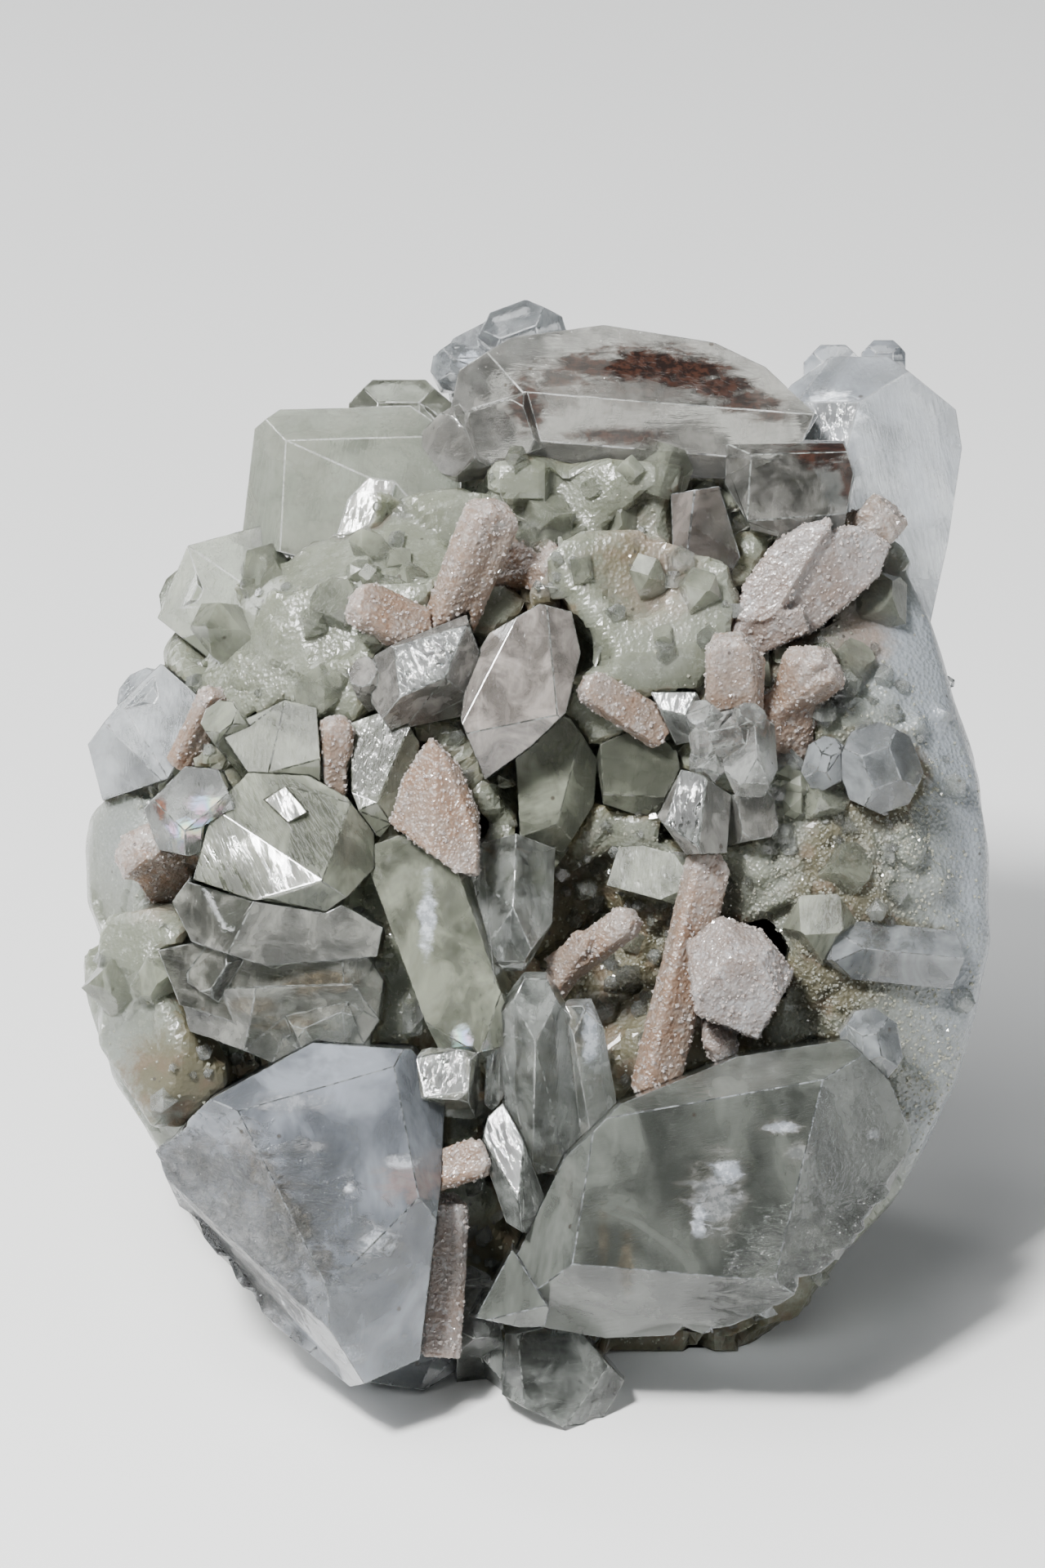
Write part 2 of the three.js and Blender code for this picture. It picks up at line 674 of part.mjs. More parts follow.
const stilbites = {
  stilbite_blade_upper: [
    blade({
      at: [-4.4, 19, 0.8], axis: [0.36, 0.88, 0.3], roll: 12,
      width: 3.5, thick: 2.4, tip: 5.3, root: 5.6,
    }),
    blade({
      at: [-4.9, 18.4, 0.2], axis: [0.3, 0.92, 0.2], roll: 30,
      width: 2.6, thick: 2.4, tip: 3.6, root: 5,
    }),
  ],
  stilbite_blade_upper_left: [
    blade({
      at: [-9.2, 15.9, 1.6], axis: [-0.86, 0.42, 0.28], roll: 96,
      width: 3, thick: 2.1, tip: 3.4, root: 3.6,
    }),
  ],
  stilbite_shaded: sheaf({
    count: 2, fan: 34, at: [-0.4, 19.6, -2.4], axis: [0.75, -0.1, 0.5], roll: 70,
    width: 2.6, thick: 1.8, tip: 2.8, root: 3,
  }),
  stilbite_blade_small: [
    blade({
      at: [5.7, 10.2, 2.3], axis: [-0.8, 0.52, 0.3], roll: 80,
      width: 2.2, thick: 1.5, tip: 3.2, root: 3.4,
    }),
  ],
  stilbite_left_blade: [
    blade({
      at: [-22.2, 9.2, -1.6], axis: [0.4, 0.78, 0.48], roll: 20,
      width: 2, thick: 1.3, tip: 2.8, root: 3.4,
    }),
  ],
  stilbite_wedge: [
    block({
      outline: [
        [-9.5, 2.5], [-8.6, 5.4], [-6.8, 8.1], [-5, 6.2], [-3.8, 3.2], [-3.8, -0.8], [-5.3, -0.6],
        [-6.9, 0.6],
      ],
      back: -4,
      facets: [
        [[0.1, 0.08, 0.99], [-5.4, 3, 6.1]],
        [[0.72, 0.3, 0.62], [-4.4, 4, 5.5]],
        [[-0.5, 0.1, 0.86], [-7.2, 3.6, 5.9]],
      ],
    }),
  ],
  stilbite_post: [
    blade({
      at: [13, 11.6, 3], axis: [-0.05, 0.92, 0.38], roll: 4,
      width: 3.3, thick: 2.3, tip: 3.6, root: 4.4,
    }),
    blade({
      at: [13.9, 11.4, 2.6], axis: [0.06, 0.94, 0.3], roll: 30,
      width: 1.9, thick: 2, tip: 2.7, root: 4,
    }),
  ],
  stilbite_sheaf_right: [
    block({
      outline: [
        [13.3, 16], [13.9, 18.4], [15.7, 20.9], [17.6, 22.1], [19.5, 22.6], [19.5, 19.7], [17.6, 17.7],
        [15.1, 15.8],
      ],
      back: -5,
      facets: [
        [[-0.24, 0.16, 0.96], [16.6, 19.2, 1.5]],
        [[0.72, -0.42, 0.55], [17.8, 18.8, 1.1]],
      ],
    }),
    block({
      outline: [
        [15.3, 14.6], [15.2, 16.6], [19.2, 21.6], [21.4, 22.2], [23.5, 21.1], [22.7, 18.9],
        [20.3, 16.8], [18.2, 15.1],
      ],
      back: -6,
      facets: [
        [[0.26, -0.2, 0.94], [19.4, 18.4, 0.3]],
        [[0.1, -0.62, 0.78], [17.9, 16.2, 0.4]],
      ],
    }),
    block({
      outline: [[12.5, 15.1], [13.4, 16.3], [17.6, 16.7], [18.1, 15.2], [14.9, 13.7], [13.1, 14.1]],
      back: -4,
      facets: [
        [[-0.05, -0.36, 0.93], [15, 15.2, 1.1]],
        [[-0.6, 0.4, 0.69], [13.4, 15.6, 0.9]],
      ],
    }),
  ],
  stilbite_sheaf_lower: sheaf({
    count: 3, fan: 17, at: [17.2, 10.8, 0.9], axis: [0.5, 0.76, 0.42], roll: 12,
    width: 3, thick: 1.8, tip: 4, root: 4.4,
  }),
  stilbite_long_blade: [
    blade({
      at: [9.6, -7.4, 2.8], axis: [0.235, 0.97, 0.04], roll: 8,
      width: 2.7, thick: 1.9, tip: 8.2, root: 8,
    }),
    blade({
      at: [10.2, -6.6, 2.3], axis: [0.2, 0.975, 0.02], roll: 30,
      width: 1.7, thick: 1.8, tip: 6.6, root: 6,
    }),
  ],
  stilbite_block_right: [
    block({
      outline: [[9.9, -5.3], [12.2, -3.6], [14.9, -4.6], [17, -7.3], [14.6, -11.6], [10.5, -9.9]],
      back: -5,
      facets: [
        [[0.12, -0.22, 0.96], [13.9, -8, 6.4]],
        [[-0.5, 0.42, 0.75], [11.4, -6, 5.9]],
        [[0.75, 0.15, 0.64], [15.6, -7, 5.8]],
        [[0.2, 0.62, 0.75], [13.6, -5, 5.7]],
      ],
    }),
    blade({
      at: [12, -10.4, 1], axis: [0.1, -0.75, 0.65], roll: 20,
      width: 2.2, thick: 1.4, tip: 3, root: 4,
    }),
  ],
  stilbite_low_blade: [
    blade({
      at: [4, -5.4, 2], axis: [0.76, 0.56, 0.32], roll: 100,
      width: 2.1, thick: 1.7, tip: 3.4, root: 3.4,
    }),
    blade({
      at: [2.4, -6.6, 1.6], axis: [0.55, 0.75, 0.36], roll: 100,
      width: 1.9, thick: 1.6, tip: 2.4, root: 3,
    }),
  ],
  stilbite_tongue: [
    blade({
      at: [-5.3, -19.9, 7.4], axis: [0.9, 0.36, 0.16], roll: 95,
      width: 2.5, thick: 1.5, tip: 2.5, root: 3,
    }),
  ],
  stilbite_edge_strip: [
    blade({
      at: [-5.9, -27.4, 4.6], axis: [0.06, 0.99, 0.05], roll: 5,
      width: 2.2, thick: 3.4, tip: 5.6, root: 5,
    }),
  ],
  stilbite_left_patch: sheaf({
    count: 2, fan: 26, at: [-25.2, 0.2, -2], axis: [-0.42, 0.3, 0.85], roll: 30,
    width: 3.6, thick: 2, tip: 3.2, root: 4,
  }),
  stilbite_upper_right: sheaf({
    count: 2, fan: 26, at: [22.2, 22, -4.4], axis: [0.35, 0.3, 0.88], roll: 50,
    width: 3.2, thick: 2, tip: 3.2, root: 4,
  }),
  stilbite_inner_left: [
    blade({
      at: [-13.1, 7, 2], axis: [0.04, 0.95, 0.3], roll: 10,
      width: 2, thick: 1.8, tip: 2.7, root: 3.6,
    }),
  ],
};

const apophyllites = {
  apophyllite_lower_left: lowerLeft,
  apophyllite_lower_right: lowerRight,
  apophyllite_flash_prism: flashPrism,
  apophyllite_clear_prisms: clearPrisms,
  apophyllite_small_cube: smallCube,
  apophyllite_left_dome: leftDome,
  apophyllite_left_clear: leftClear,
  apophyllite_broken_plates: brokenPlates,
  apophyllite_left_prism: leftPrism,
  apophyllite_left_back_block: leftBackBlock,
  apophyllite_inner_left: innerLeft,
  apophyllite_kite: kite,
  apophyllite_centre: centreCrystal,
  apophyllite_hanging: hangingCrystal,
  apophyllite_small_pyramid: smallPyramid,
  apophyllite_right_cube: rightCube,
  apophyllite_right_clear_group: rightClearGroup,
  apophyllite_green_tall: greenTall,
  apophyllite_green_block: greenBlock,
  apophyllite_top: topCrystal,
  apophyllite_top_small: topSmall,
  apophyllite_rear_prism: rearPrism,
  apophyllite_top_knobs: topKnobs,
  apophyllite_upper_left: upperLeft,
  apophyllite_left_edge_upper: leftEdgeUpper,
  apophyllite_left_edge_lower: leftEdgeLower,
  apophyllite_upper_right_shard: upperRightShard,
  apophyllite_right_oval: rightOval,
  apophyllite_right_oval_small: rightOvalSmall,
  apophyllite_low_oval: lowOval,
  apophyllite_arrow: arrowCrystal,
  apophyllite_bottom_clear: bottomClear,
  apophyllite_bottom_mid: bottomMid,
  apophyllite_bottom_left: bottomLeft,
  apophyllite_back_spire: backSpire,
  apophyllite_back_block: backBlock,
  apophyllite_back_top: backTop,
};

// The host rock: a lump with the specimen's outline, a relief on its front and its back

const hostOutline = [
  [30, 0], [29, 8.6], [26.4, 15.2], [23.4, 22], [18, 26.6], [10, 28.4], [0, 28.6], [-8.4, 27],
  [-17, 23.8], [-22.6, 17.2], [-26.8, 10.4], [-29.2, 3.4], [-29.4, -4.1], [-29.5, -12], [-25.5, -18.7],
  [-18, -26.2], [-10, -32], [-0.8, -34.6], [7.8, -33.9], [14.1, -32.6], [18.8, -27.7], [23.6, -21.8],
  [27.6, -16.3], [29.7, -8],
];
const hostCentre = [1, -2];
const hostSpokes = 36;
const frontLevel = 0.6;
const backLevel = -21;
const rimWall = 6; // thickness of the lump at its outline
// Depth of the outline to the right, top, left and bottom
const rimDepth = { right: -3.2, top: -11, left: -10, bottom: -5 };
// Rings from the middle of the front, over the outline, to the middle of the back
const frontShares = [0.13, 0.27, 0.42, 0.58, 0.74, 0.88, 0.965, 1];
const bulge = { share: 1.012, depth: 0.45 * rimWall };
const backShares = [0.985, 0.9, 0.76, 0.58, 0.4, 0.2];
// Swells and hollows of the front and the back: x, y, radius and height
const frontSwells = [
  [3.5, -5.5, 6.5, -6.5],
  [-4.5, -13, 3.6, -4.5],
  [-3, -28, 4, -4],
  [22.5, -1, 8.5, 1.9],
  [25, 9, 4.5, 1.2],
  [18, 3, 4, 1],
  [-17, 1, 6.5, 1.6],
  [0, 20, 3.6, -3.6],
  [-20, -14, 3.4, -2.4],
  [14.5, 13, 3, -1.6],
  [10, 25, 5, -1.4],
];
const backSwells = [
  [0, -26, 15, -13],
  [-14, 2, 8, 3],
  [15, 12, 7, 2.4],
  [4, 22, 7, -1.4],
  [-18, -12, 6, -2],
  [18, -14, 6, 2.6],
];

const hostRim = new THREE.CatmullRomCurve3(
  hostOutline.map(([x, y]) => new THREE.Vector3(x, y, 0)),
  true,
);

function rimDepthAt(x, y) {
  const across = (x / Math.hypot(x, y)) ** 2;
  const sideways = x > 0 ? rimDepth.right : rimDepth.left;
  const upright = y > 0 ? rimDepth.top : rimDepth.bottom;
  return across * sideways + (1 - across) * upright;
}

function swellAt(swells, x, y) {
  return swells.reduce((sum, [cx, cy, radius, height]) => {
    const distance = Math.hypot(x - cx, y - cy) / radius;
    return sum + height * Math.exp(-distance * distance);
  }, 0);
}

// Shallow knobbly relief that never repeats across the lump
const knobbly = (x, y) =>
  0.42 * Math.sin(0.9 * x + 1.3 * Math.sin(0.37 * y)) * Math.sin(0.82 * y + 1.1 * Math.sin(0.41 * x)) +
  0.24 * Math.sin(2.1 * x - 0.7 * y) * Math.sin(1.7 * y + 0.5 * x);

// A point of the front or the back, at a share of the way from the centre to the outline
function hostPoint(share, rim, front) {
  const x = hostCentre[0] + share * (rim.x - hostCentre[0]);
  const y = hostCentre[1] + share * (rim.y - hostCentre[1]);
  const level = front ? frontLevel : backLevel;
  const edge = rimDepthAt(rim.x, rim.y) - (front ? 0 : rimWall);
  const fall = share ** (front ? 4.5 : 3);
  const relief = swellAt(front ? frontSwells : backSwells, x, y) + (front ? 1 : 1.8) * knobbly(x, y);
  return new THREE.Vector3(x, y, level + (edge - level) * fall + relief * (1 - share ** 5));
}

function hostLump() {
  const spokes = Array.from({ length: hostSpokes }, (_, i) => {
    const chip = 1 + 0.012 * Math.sin(2.4 * i) + 0.009 * Math.sin(5.3 * i);
    return hostRim.getPointAt(i / hostSpokes).multiplyScalar(chip);
  });
  const rings = [
    ...frontShares.map((share) => spokes.map((rim) => hostPoint(share, rim, true))),
    spokes.map((rim) => {
      const swollen = hostPoint(bulge.share, rim, true);
      return swollen.setZ(rimDepthAt(rim.x, rim.y) - bulge.depth);
    }),
    ...backShares.map((share) => spokes.map((rim) => hostPoint(share, rim, false))),
  ];
  const points = [...rings.flat(), hostPoint(0, spokes[0], true), hostPoint(0, spokes[0], false)];
  const frontPole = points.length - 2;
  const backPole = points.length - 1;
  const at = (ring, spoke) => ring * hostSpokes + (spoke % hostSpokes);
  const triangles = [];
  for (let spoke = 0; spoke < hostSpokes; spoke++) {
    triangles.push(frontPole, at(0, spoke), at(0, spoke + 1));
    for (let ring = 0; ring + 1 < rings.length; ring++) {
      triangles.push(at(ring, spoke), at(ring + 1, spoke), at(ring + 1, spoke + 1));
      triangles.push(at(ring, spoke), at(ring + 1, spoke + 1), at(ring, spoke + 1));
    }
    triangles.push(backPole, at(rings.length - 1, spoke + 1), at(rings.length - 1, spoke));
  }
  const geometry = new THREE.BufferGeometry().setFromPoints(points).setIndex(triangles);
  return solidFrom(geometry).trimByPlane(floorPlane.normal.clone().negate().toArray(), -floorPlane.reach);
}

// Flat faces of the massive green apophyllite that show between the crystals
const hostFaces = [
  block({
    outline: [[-0.8, 18], [1.6, 21.4], [7, 21.6], [12.6, 19.6], [13, 13.6], [8.6, 10.6], [3, 11.8]],
    back: -10,
    facets: [
      [[0.04, 0.26, 0.96], [6.5, 16, 1.5]],
      [[0.3, -0.5, 0.8], [9, 12, 1.7]],
    ],
  }),
  block({
    outline: [[-3, 26.8], [10, 26], [9, 21], [2, 20.4], [-2.4, 22.4]],
    back: -14,
    facets: [[[0.04, -0.12, 0.99], [4, 23.8, -2.6]]],
  }),
  block({
    outline: [[-19.4, 17.6], [-12.6, 20], [-6, 19.6], [-4.8, 14.6], [-8, 11], [-13, 9.6], [-20, 12]],
    back: -16,
    facets: [
      [[-0.22, 0.34, 0.91], [-12, 14.6, 0.4]],
      [[-0.5, 0.1, 0.86], [-17, 14, -2.2]],
    ],
  }),
  block({
    outline: [[-28.6, -4], [-24.6, -3.4], [-20.6, -11], [-21, -16.4], [-25, -17.6], [-28.8, -12]],
    back: -14,
    facets: [
      [[-0.5, -0.05, 0.86], [-25.6, -9, -0.4]],
      [[0.2, -0.3, 0.93], [-22.4, -13, 0.4]],
    ],
  }),
];

// Small crystals fused to the host, scattered with a fixed seed
let seed = 20;
const random = () => {
  seed = (seed * 16807) % 2147483647;
  return seed / 2147483647;
};
const between = (low, high) => low + (high - low) * random();

// Where they sit: how many, the stretch of the outline (0 at the right, 0.25 at the top), the share
// of the way out to it, and half their width
const smallCrystalBelts = [
  { count: 13, stretch: [-0.12, 0.13], shares: [0.74, 0.96], half: [0.45, 0.9], front: true },
  { count: 6, stretch: [0.13, 0.36], shares: [0.72, 0.96], half: [0.7, 1.3], front: true },
  { count: 8, stretch: [0.36, 0.6], shares: [0.78, 0.98], half: [0.7, 1.5], front: true },
  { count: 4, stretch: [0.6, 0.82], shares: [0.7, 0.92], half: [0.7, 1.2], front: true },
  { count: 15, stretch: [0, 1], shares: [0.25, 0.95], half: [0.9, 2.1], front: false },
];

const smallCrystals = smallCrystalBelts.flatMap(({ count, stretch, shares, half, front }) =>
  Array.from({ length: count }, () => {
    const rim = hostRim.getPoint((between(...stretch) + 1) % 1);
    const at = hostPoint(between(...shares), rim, front).toArray();
    const splay = rim.clone().multiplyScalar(1 / 36);
    const axis = [splay.x + between(-0.3, 0.3), splay.y + between(-0.3, 0.3), front ? 0.8 : -0.8];
    const size = between(...half);
    return prism({
      at,
      axis,
      roll: between(0, 90),
      half: [size, size * between(0.8, 1.15)],
      tip: size * between(0.8, 1.5),
      root: size * 1.8,
      shoulder: size * between(0.3, 0.7),
    });
  }),
);

// Assembly: each crystal is cut clear of those named before it, and the host is cut clear of them all

const finishes = {
  apophyllite: new THREE.MeshStandardMaterial({ color: 0xdfe6dc, roughness: 0.12, metalness: 0 }),
  stilbite: new THREE.MeshStandardMaterial({ color: 0xdcb9a2, roughness: 0.45, metalness: 0 }),
  host: new THREE.MeshStandardMaterial({ color: 0xc9cdbd, roughness: 0.6, metalness: 0 }),
};

const largestPiece = (solid) =>
  solid.decompose().reduce((best, piece) => (piece.volume() > best.volume() ? piece : best));

function meshFrom(name, solid, material) {
  const { numProp, numVert, vertProperties, triVerts } = solid.getMesh();
  const corners = new Float32Array(numVert * 3);
  for (let i = 0; i < numVert; i++) {
    corners.set(vertProperties.subarray(i * numProp, i * numProp + 3), i * 3);
  }
  const geometry = new THREE.BufferGeometry();
  geometry.setAttribute("position", new THREE.BufferAttribute(corners, 3));
  geometry.setIndex(new THREE.BufferAttribute(triVerts, 1));
  geometry.computeBoundingBox();
  const centre = geometry.boundingBox.getCenter(new THREE.Vector3());
  geometry.translate(-centre.x, -centre.y, -centre.z);
  const mesh = new THREE.Mesh(geometry, material);
  mesh.name = name;
  mesh.position.copy(centre);
  return mesh;
}

const face = new THREE.Group();
face.rotation.x = rad(90 - faceLean);

const seats = [];
for (const [name, parts] of Object.entries({ ...apophyllites, ...stilbites })) {
  const whole = joined(parts.map((planes) => cutFromStock(planes)));
  const clear = seats.reduce((rest, seat) => rest.subtract(seat), whole);
  const material = name.startsWith("stilbite") ? finishes.stilbite : finishes.apophyllite;
  face.add(meshFrom(name, largestPiece(clear), material));
  seats.push(joined(parts.map((planes) => cutFromStock(planes, seatGap))));
}

const grown = [...hostFaces, ...smallCrystals].map((planes) => cutFromStock(planes));
const host = joined([hostLump(), ...grown]);
const seated = seats.reduce((rest, seat) => rest.subtract(seat), host);
face.add(meshFrom("host_rock", largestPiece(seated), finishes.host));

// The origin is under the middle of the whole cluster, on the surface that it stands on.
const cluster = new THREE.Group();
cluster.add(face);
const box = new THREE.Box3().setFromObject(cluster, true);
const middle = box.getCenter(new THREE.Vector3());
face.position.set(-middle.x, -middle.y, -box.min.z);

export default cluster;
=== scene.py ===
# The looks of an apophyllite and stilbite specimen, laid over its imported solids.
# Everything is in metres. The crystal face leans back, so most places are given on the face:
# millimetres to the right, up the face and out of it, from the face's middle.
import json
import math

import bmesh
import bpy
import numpy as np
from mathutils import Matrix, Vector, noise
from mathutils.bvhtree import BVHTree
from mathutils.kdtree import KDTree


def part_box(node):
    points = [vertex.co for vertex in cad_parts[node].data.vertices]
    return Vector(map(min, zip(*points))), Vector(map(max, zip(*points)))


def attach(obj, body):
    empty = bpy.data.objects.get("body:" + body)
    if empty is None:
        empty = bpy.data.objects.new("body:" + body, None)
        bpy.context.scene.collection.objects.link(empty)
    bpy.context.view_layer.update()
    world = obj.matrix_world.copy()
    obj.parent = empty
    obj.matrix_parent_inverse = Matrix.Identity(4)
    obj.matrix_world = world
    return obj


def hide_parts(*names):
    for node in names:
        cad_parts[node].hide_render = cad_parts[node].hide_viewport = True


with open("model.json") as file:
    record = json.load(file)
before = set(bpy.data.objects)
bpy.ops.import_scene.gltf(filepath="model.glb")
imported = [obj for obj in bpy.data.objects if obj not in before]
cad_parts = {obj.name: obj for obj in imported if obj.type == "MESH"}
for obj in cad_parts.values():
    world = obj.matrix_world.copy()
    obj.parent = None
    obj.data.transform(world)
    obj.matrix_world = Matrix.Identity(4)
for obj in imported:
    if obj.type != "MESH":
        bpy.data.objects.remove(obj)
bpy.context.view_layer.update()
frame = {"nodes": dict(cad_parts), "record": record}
scatterDice = np.random.default_rng(7)
mm = 0.001

crystalFace = {
    "lean": 25,  # degrees back from upright
    "middle": (0.005, -4.985, 31.4),  # mm, over the foot of the specimen
}
lean = math.radians(crystalFace["lean"])
faceMiddle = Vector(crystalFace["middle"]) * mm
faceTurn = Matrix.Rotation(math.pi / 2 - lean, 3, "X")
faceOut = faceTurn @ Vector((0, 0, 1))


def onFace(right, up, out=0.0):
    return faceMiddle + faceTurn @ Vector((right, up, out)) * mm


def faceArray(points):  # metres -> mm on the face, for many points at once
    turn = np.array(faceTurn)
    return (np.asarray(points) - np.array(faceMiddle)) @ turn / mm


# Shader patterns


class Pattern:
    # one output of a shader tree, so that pattern maths reads as plain Python

    def __init__(self, tree, socket=None):
        self.tree = tree
        self.socket = socket

    def node(self, kind, settings=None, inputs=None, output=0):
        made = self.tree.nodes.new(kind)
        for key, value in (settings or {}).items():
            if key == "stops":
                self.setStops(made.color_ramp, value)
            else:
                setattr(made, key, value)
        for key, value in (inputs or {}).items():
            if isinstance(value, Pattern):
                self.tree.links.new(value.socket, made.inputs[key])
            else:
                made.inputs[key].default_value = value
        return Pattern(self.tree, made.outputs[output])

    def setStops(self, ramp, stops):
        while len(ramp.elements) < len(stops):
            ramp.elements.new(0.5)
        for element, (place, colour) in zip(ramp.elements, stops):
            element.position = place
            element.color = (*colour, 1)

    def calculate(self, operation, first, second=0.0, clamp=False):
        settings = {"operation": operation, "use_clamp": clamp}
        return self.node("ShaderNodeMath", settings, {0: first, 1: second})

    def __add__(self, other):
        return self.calculate("ADD", self, other)

    def __sub__(self, other):
        return self.calculate("SUBTRACT", self, other)

    def __rsub__(self, other):
        return self.calculate("SUBTRACT", other, self)

    def __mul__(self, other):
        return self.calculate("MULTIPLY", self, other)

    def __truediv__(self, other):
        return self.calculate("DIVIDE", self, other)

    def held(self):  # kept between 0 and 1
        return self.calculate("ADD", self, 0.0, clamp=True)

    def higher(self, other):
        return self.calculate("MAXIMUM", self, other)

    def between(self, low, high):  # 0 below low, 1 above high, a soft step between
        inputs = {"Value": self, "From Min": low, "From Max": high}
        return self.node("ShaderNodeMapRange", {"interpolation_type": "SMOOTHSTEP"}, inputs)

    def fade(self, first, second):  # a colour between two, this being the share of the second
        first, second = (part if isinstance(part, Pattern) else (*part, 1) for part in (first, second))
        return self.node("ShaderNodeMix", {"data_type": "RGBA"}, {0: self, 6: first, 7: second}, 2)

    def noise(self, place, scale, detail=4.0, roughness=0.55, distortion=0.0):
        inputs = {"Vector": place, "Scale": scale, "Detail": detail, "Roughness": roughness}
        inputs["Distortion"] = distortion
        return self.node("ShaderNodeTexNoise", {"noise_dimensions": "3D"}, inputs)

    def cells(self, place, scale):
        return self.node("ShaderNodeTexVoronoi", {}, {"Vector": place, "Scale": scale})

    def attribute(self, name, output=2):  # a value that the mesh carries, or with output 1 a place
        return self.node("ShaderNodeAttribute", {"attribute_name": name}, output=output)

    def principled(self, inputs):
        return self.node("ShaderNodeBsdfPrincipled", {}, inputs)

    def stretched(self, place, scale):
        return self.node("ShaderNodeMapping", {}, {"Vector": place, "Scale": scale})

    def bump(self, height, strength, depth, under=None):  # depth in mm
        inputs = {"Height": height, "Strength": strength, "Distance": depth * mm}
        if under:
            inputs["Normal"] = under
        return self.node("ShaderNodeBump", {}, inputs)

    def mixShader(self, share, first, second):
        return self.node("ShaderNodeMixShader", {}, {0: share, 1: first, 2: second})


def newMaterial(name):
    material = bpy.data.materials.new(name)
    material.use_nodes = True
    material.node_tree.nodes.clear()
    return material, Pattern(material.node_tree)


def facePlace(start):  # Object coordinates as mm on the crystal face
    back = faceTurn.transposed()
    location = -(back @ faceMiddle) / mm
    inputs = {
        "Vector": start.node("ShaderNodeTexCoord", output=3),
        "Location": tuple(location),
        "Rotation": (lean - math.pi / 2, 0, 0),
        "Scale": (1 / mm, 1 / mm, 1 / mm),
    }
    return start.node("ShaderNodeMapping", {"vector_type": "POINT"}, inputs)


def patch(start, place, centre, reach, wobble, softness=0.45):
    # a patch for any mark, stains and painted highlights alike: 1 inside an ellipsoid, its edge shifted by
    # the wobble
    across = start.node(
        "ShaderNodeVectorMath", {"operation": "SUBTRACT"}, {0: place, 1: centre}
    )
    share = start.node(
        "ShaderNodeVectorMath", {"operation": "DIVIDE"}, {0: across, 1: reach}
    )
    distance = start.node("ShaderNodeVectorMath", {"operation": "LENGTH"}, {0: share}, 1)
    return 1 - (distance + wobble).between(1 - softness, 1 + softness)


def output(surface, volume=None, kind="Material"):
    made = surface.tree.nodes.new(f"ShaderNodeOutput{kind}")
    surface.tree.links.new(surface.socket, made.inputs["Surface"])
    if volume:
        surface.tree.links.new(volume.socket, made.inputs["Volume"])


apophyllite = {
    "ior": 1.535,
    "looks": {
        # milk is the least and the most share of cloudy crystal, cloud its size per mm
        "clear": {"tint": (0.255, 0.268, 0.252), "milk": (0.08, 0.42), "cloud": 0.42, "grease": 0.04},
        "milky": {"tint": (0.228, 0.242, 0.25), "milk": (0.22, 0.75), "cloud": 0.17, "grease": 0.07},
        "green": {"tint": (0.18, 0.19, 0.148), "milk": (0.28, 0.78), "cloud": 0.2, "grease": 0.07},
        "smoky": {"tint": (0.195, 0.195, 0.172), "milk": (0.2, 0.66), "cloud": 0.22, "grease": 0.06},
    },
    "glass": {
        # tint of the surface, tint and density per metre of what lies under it
        "clear": ((0.98, 0.985, 0.98), (0.78, 0.82, 0.78), 80),
        "milky": ((0.965, 0.97, 0.98), (0.72, 0.755, 0.76), 80),
        "green": ((0.95, 0.96, 0.94), (0.66, 0.71, 0.60), 120),
        "smoky": ((0.95, 0.95, 0.94), (0.66, 0.66, 0.61), 100),
    },
    "subsurface": (2.2, 2.3, 2.2),  # mm that light travels in the cloudy crystal
    "striae": 3.2,  # growth lines per mm across
    "striaeLength": 0.06,  # and along
}
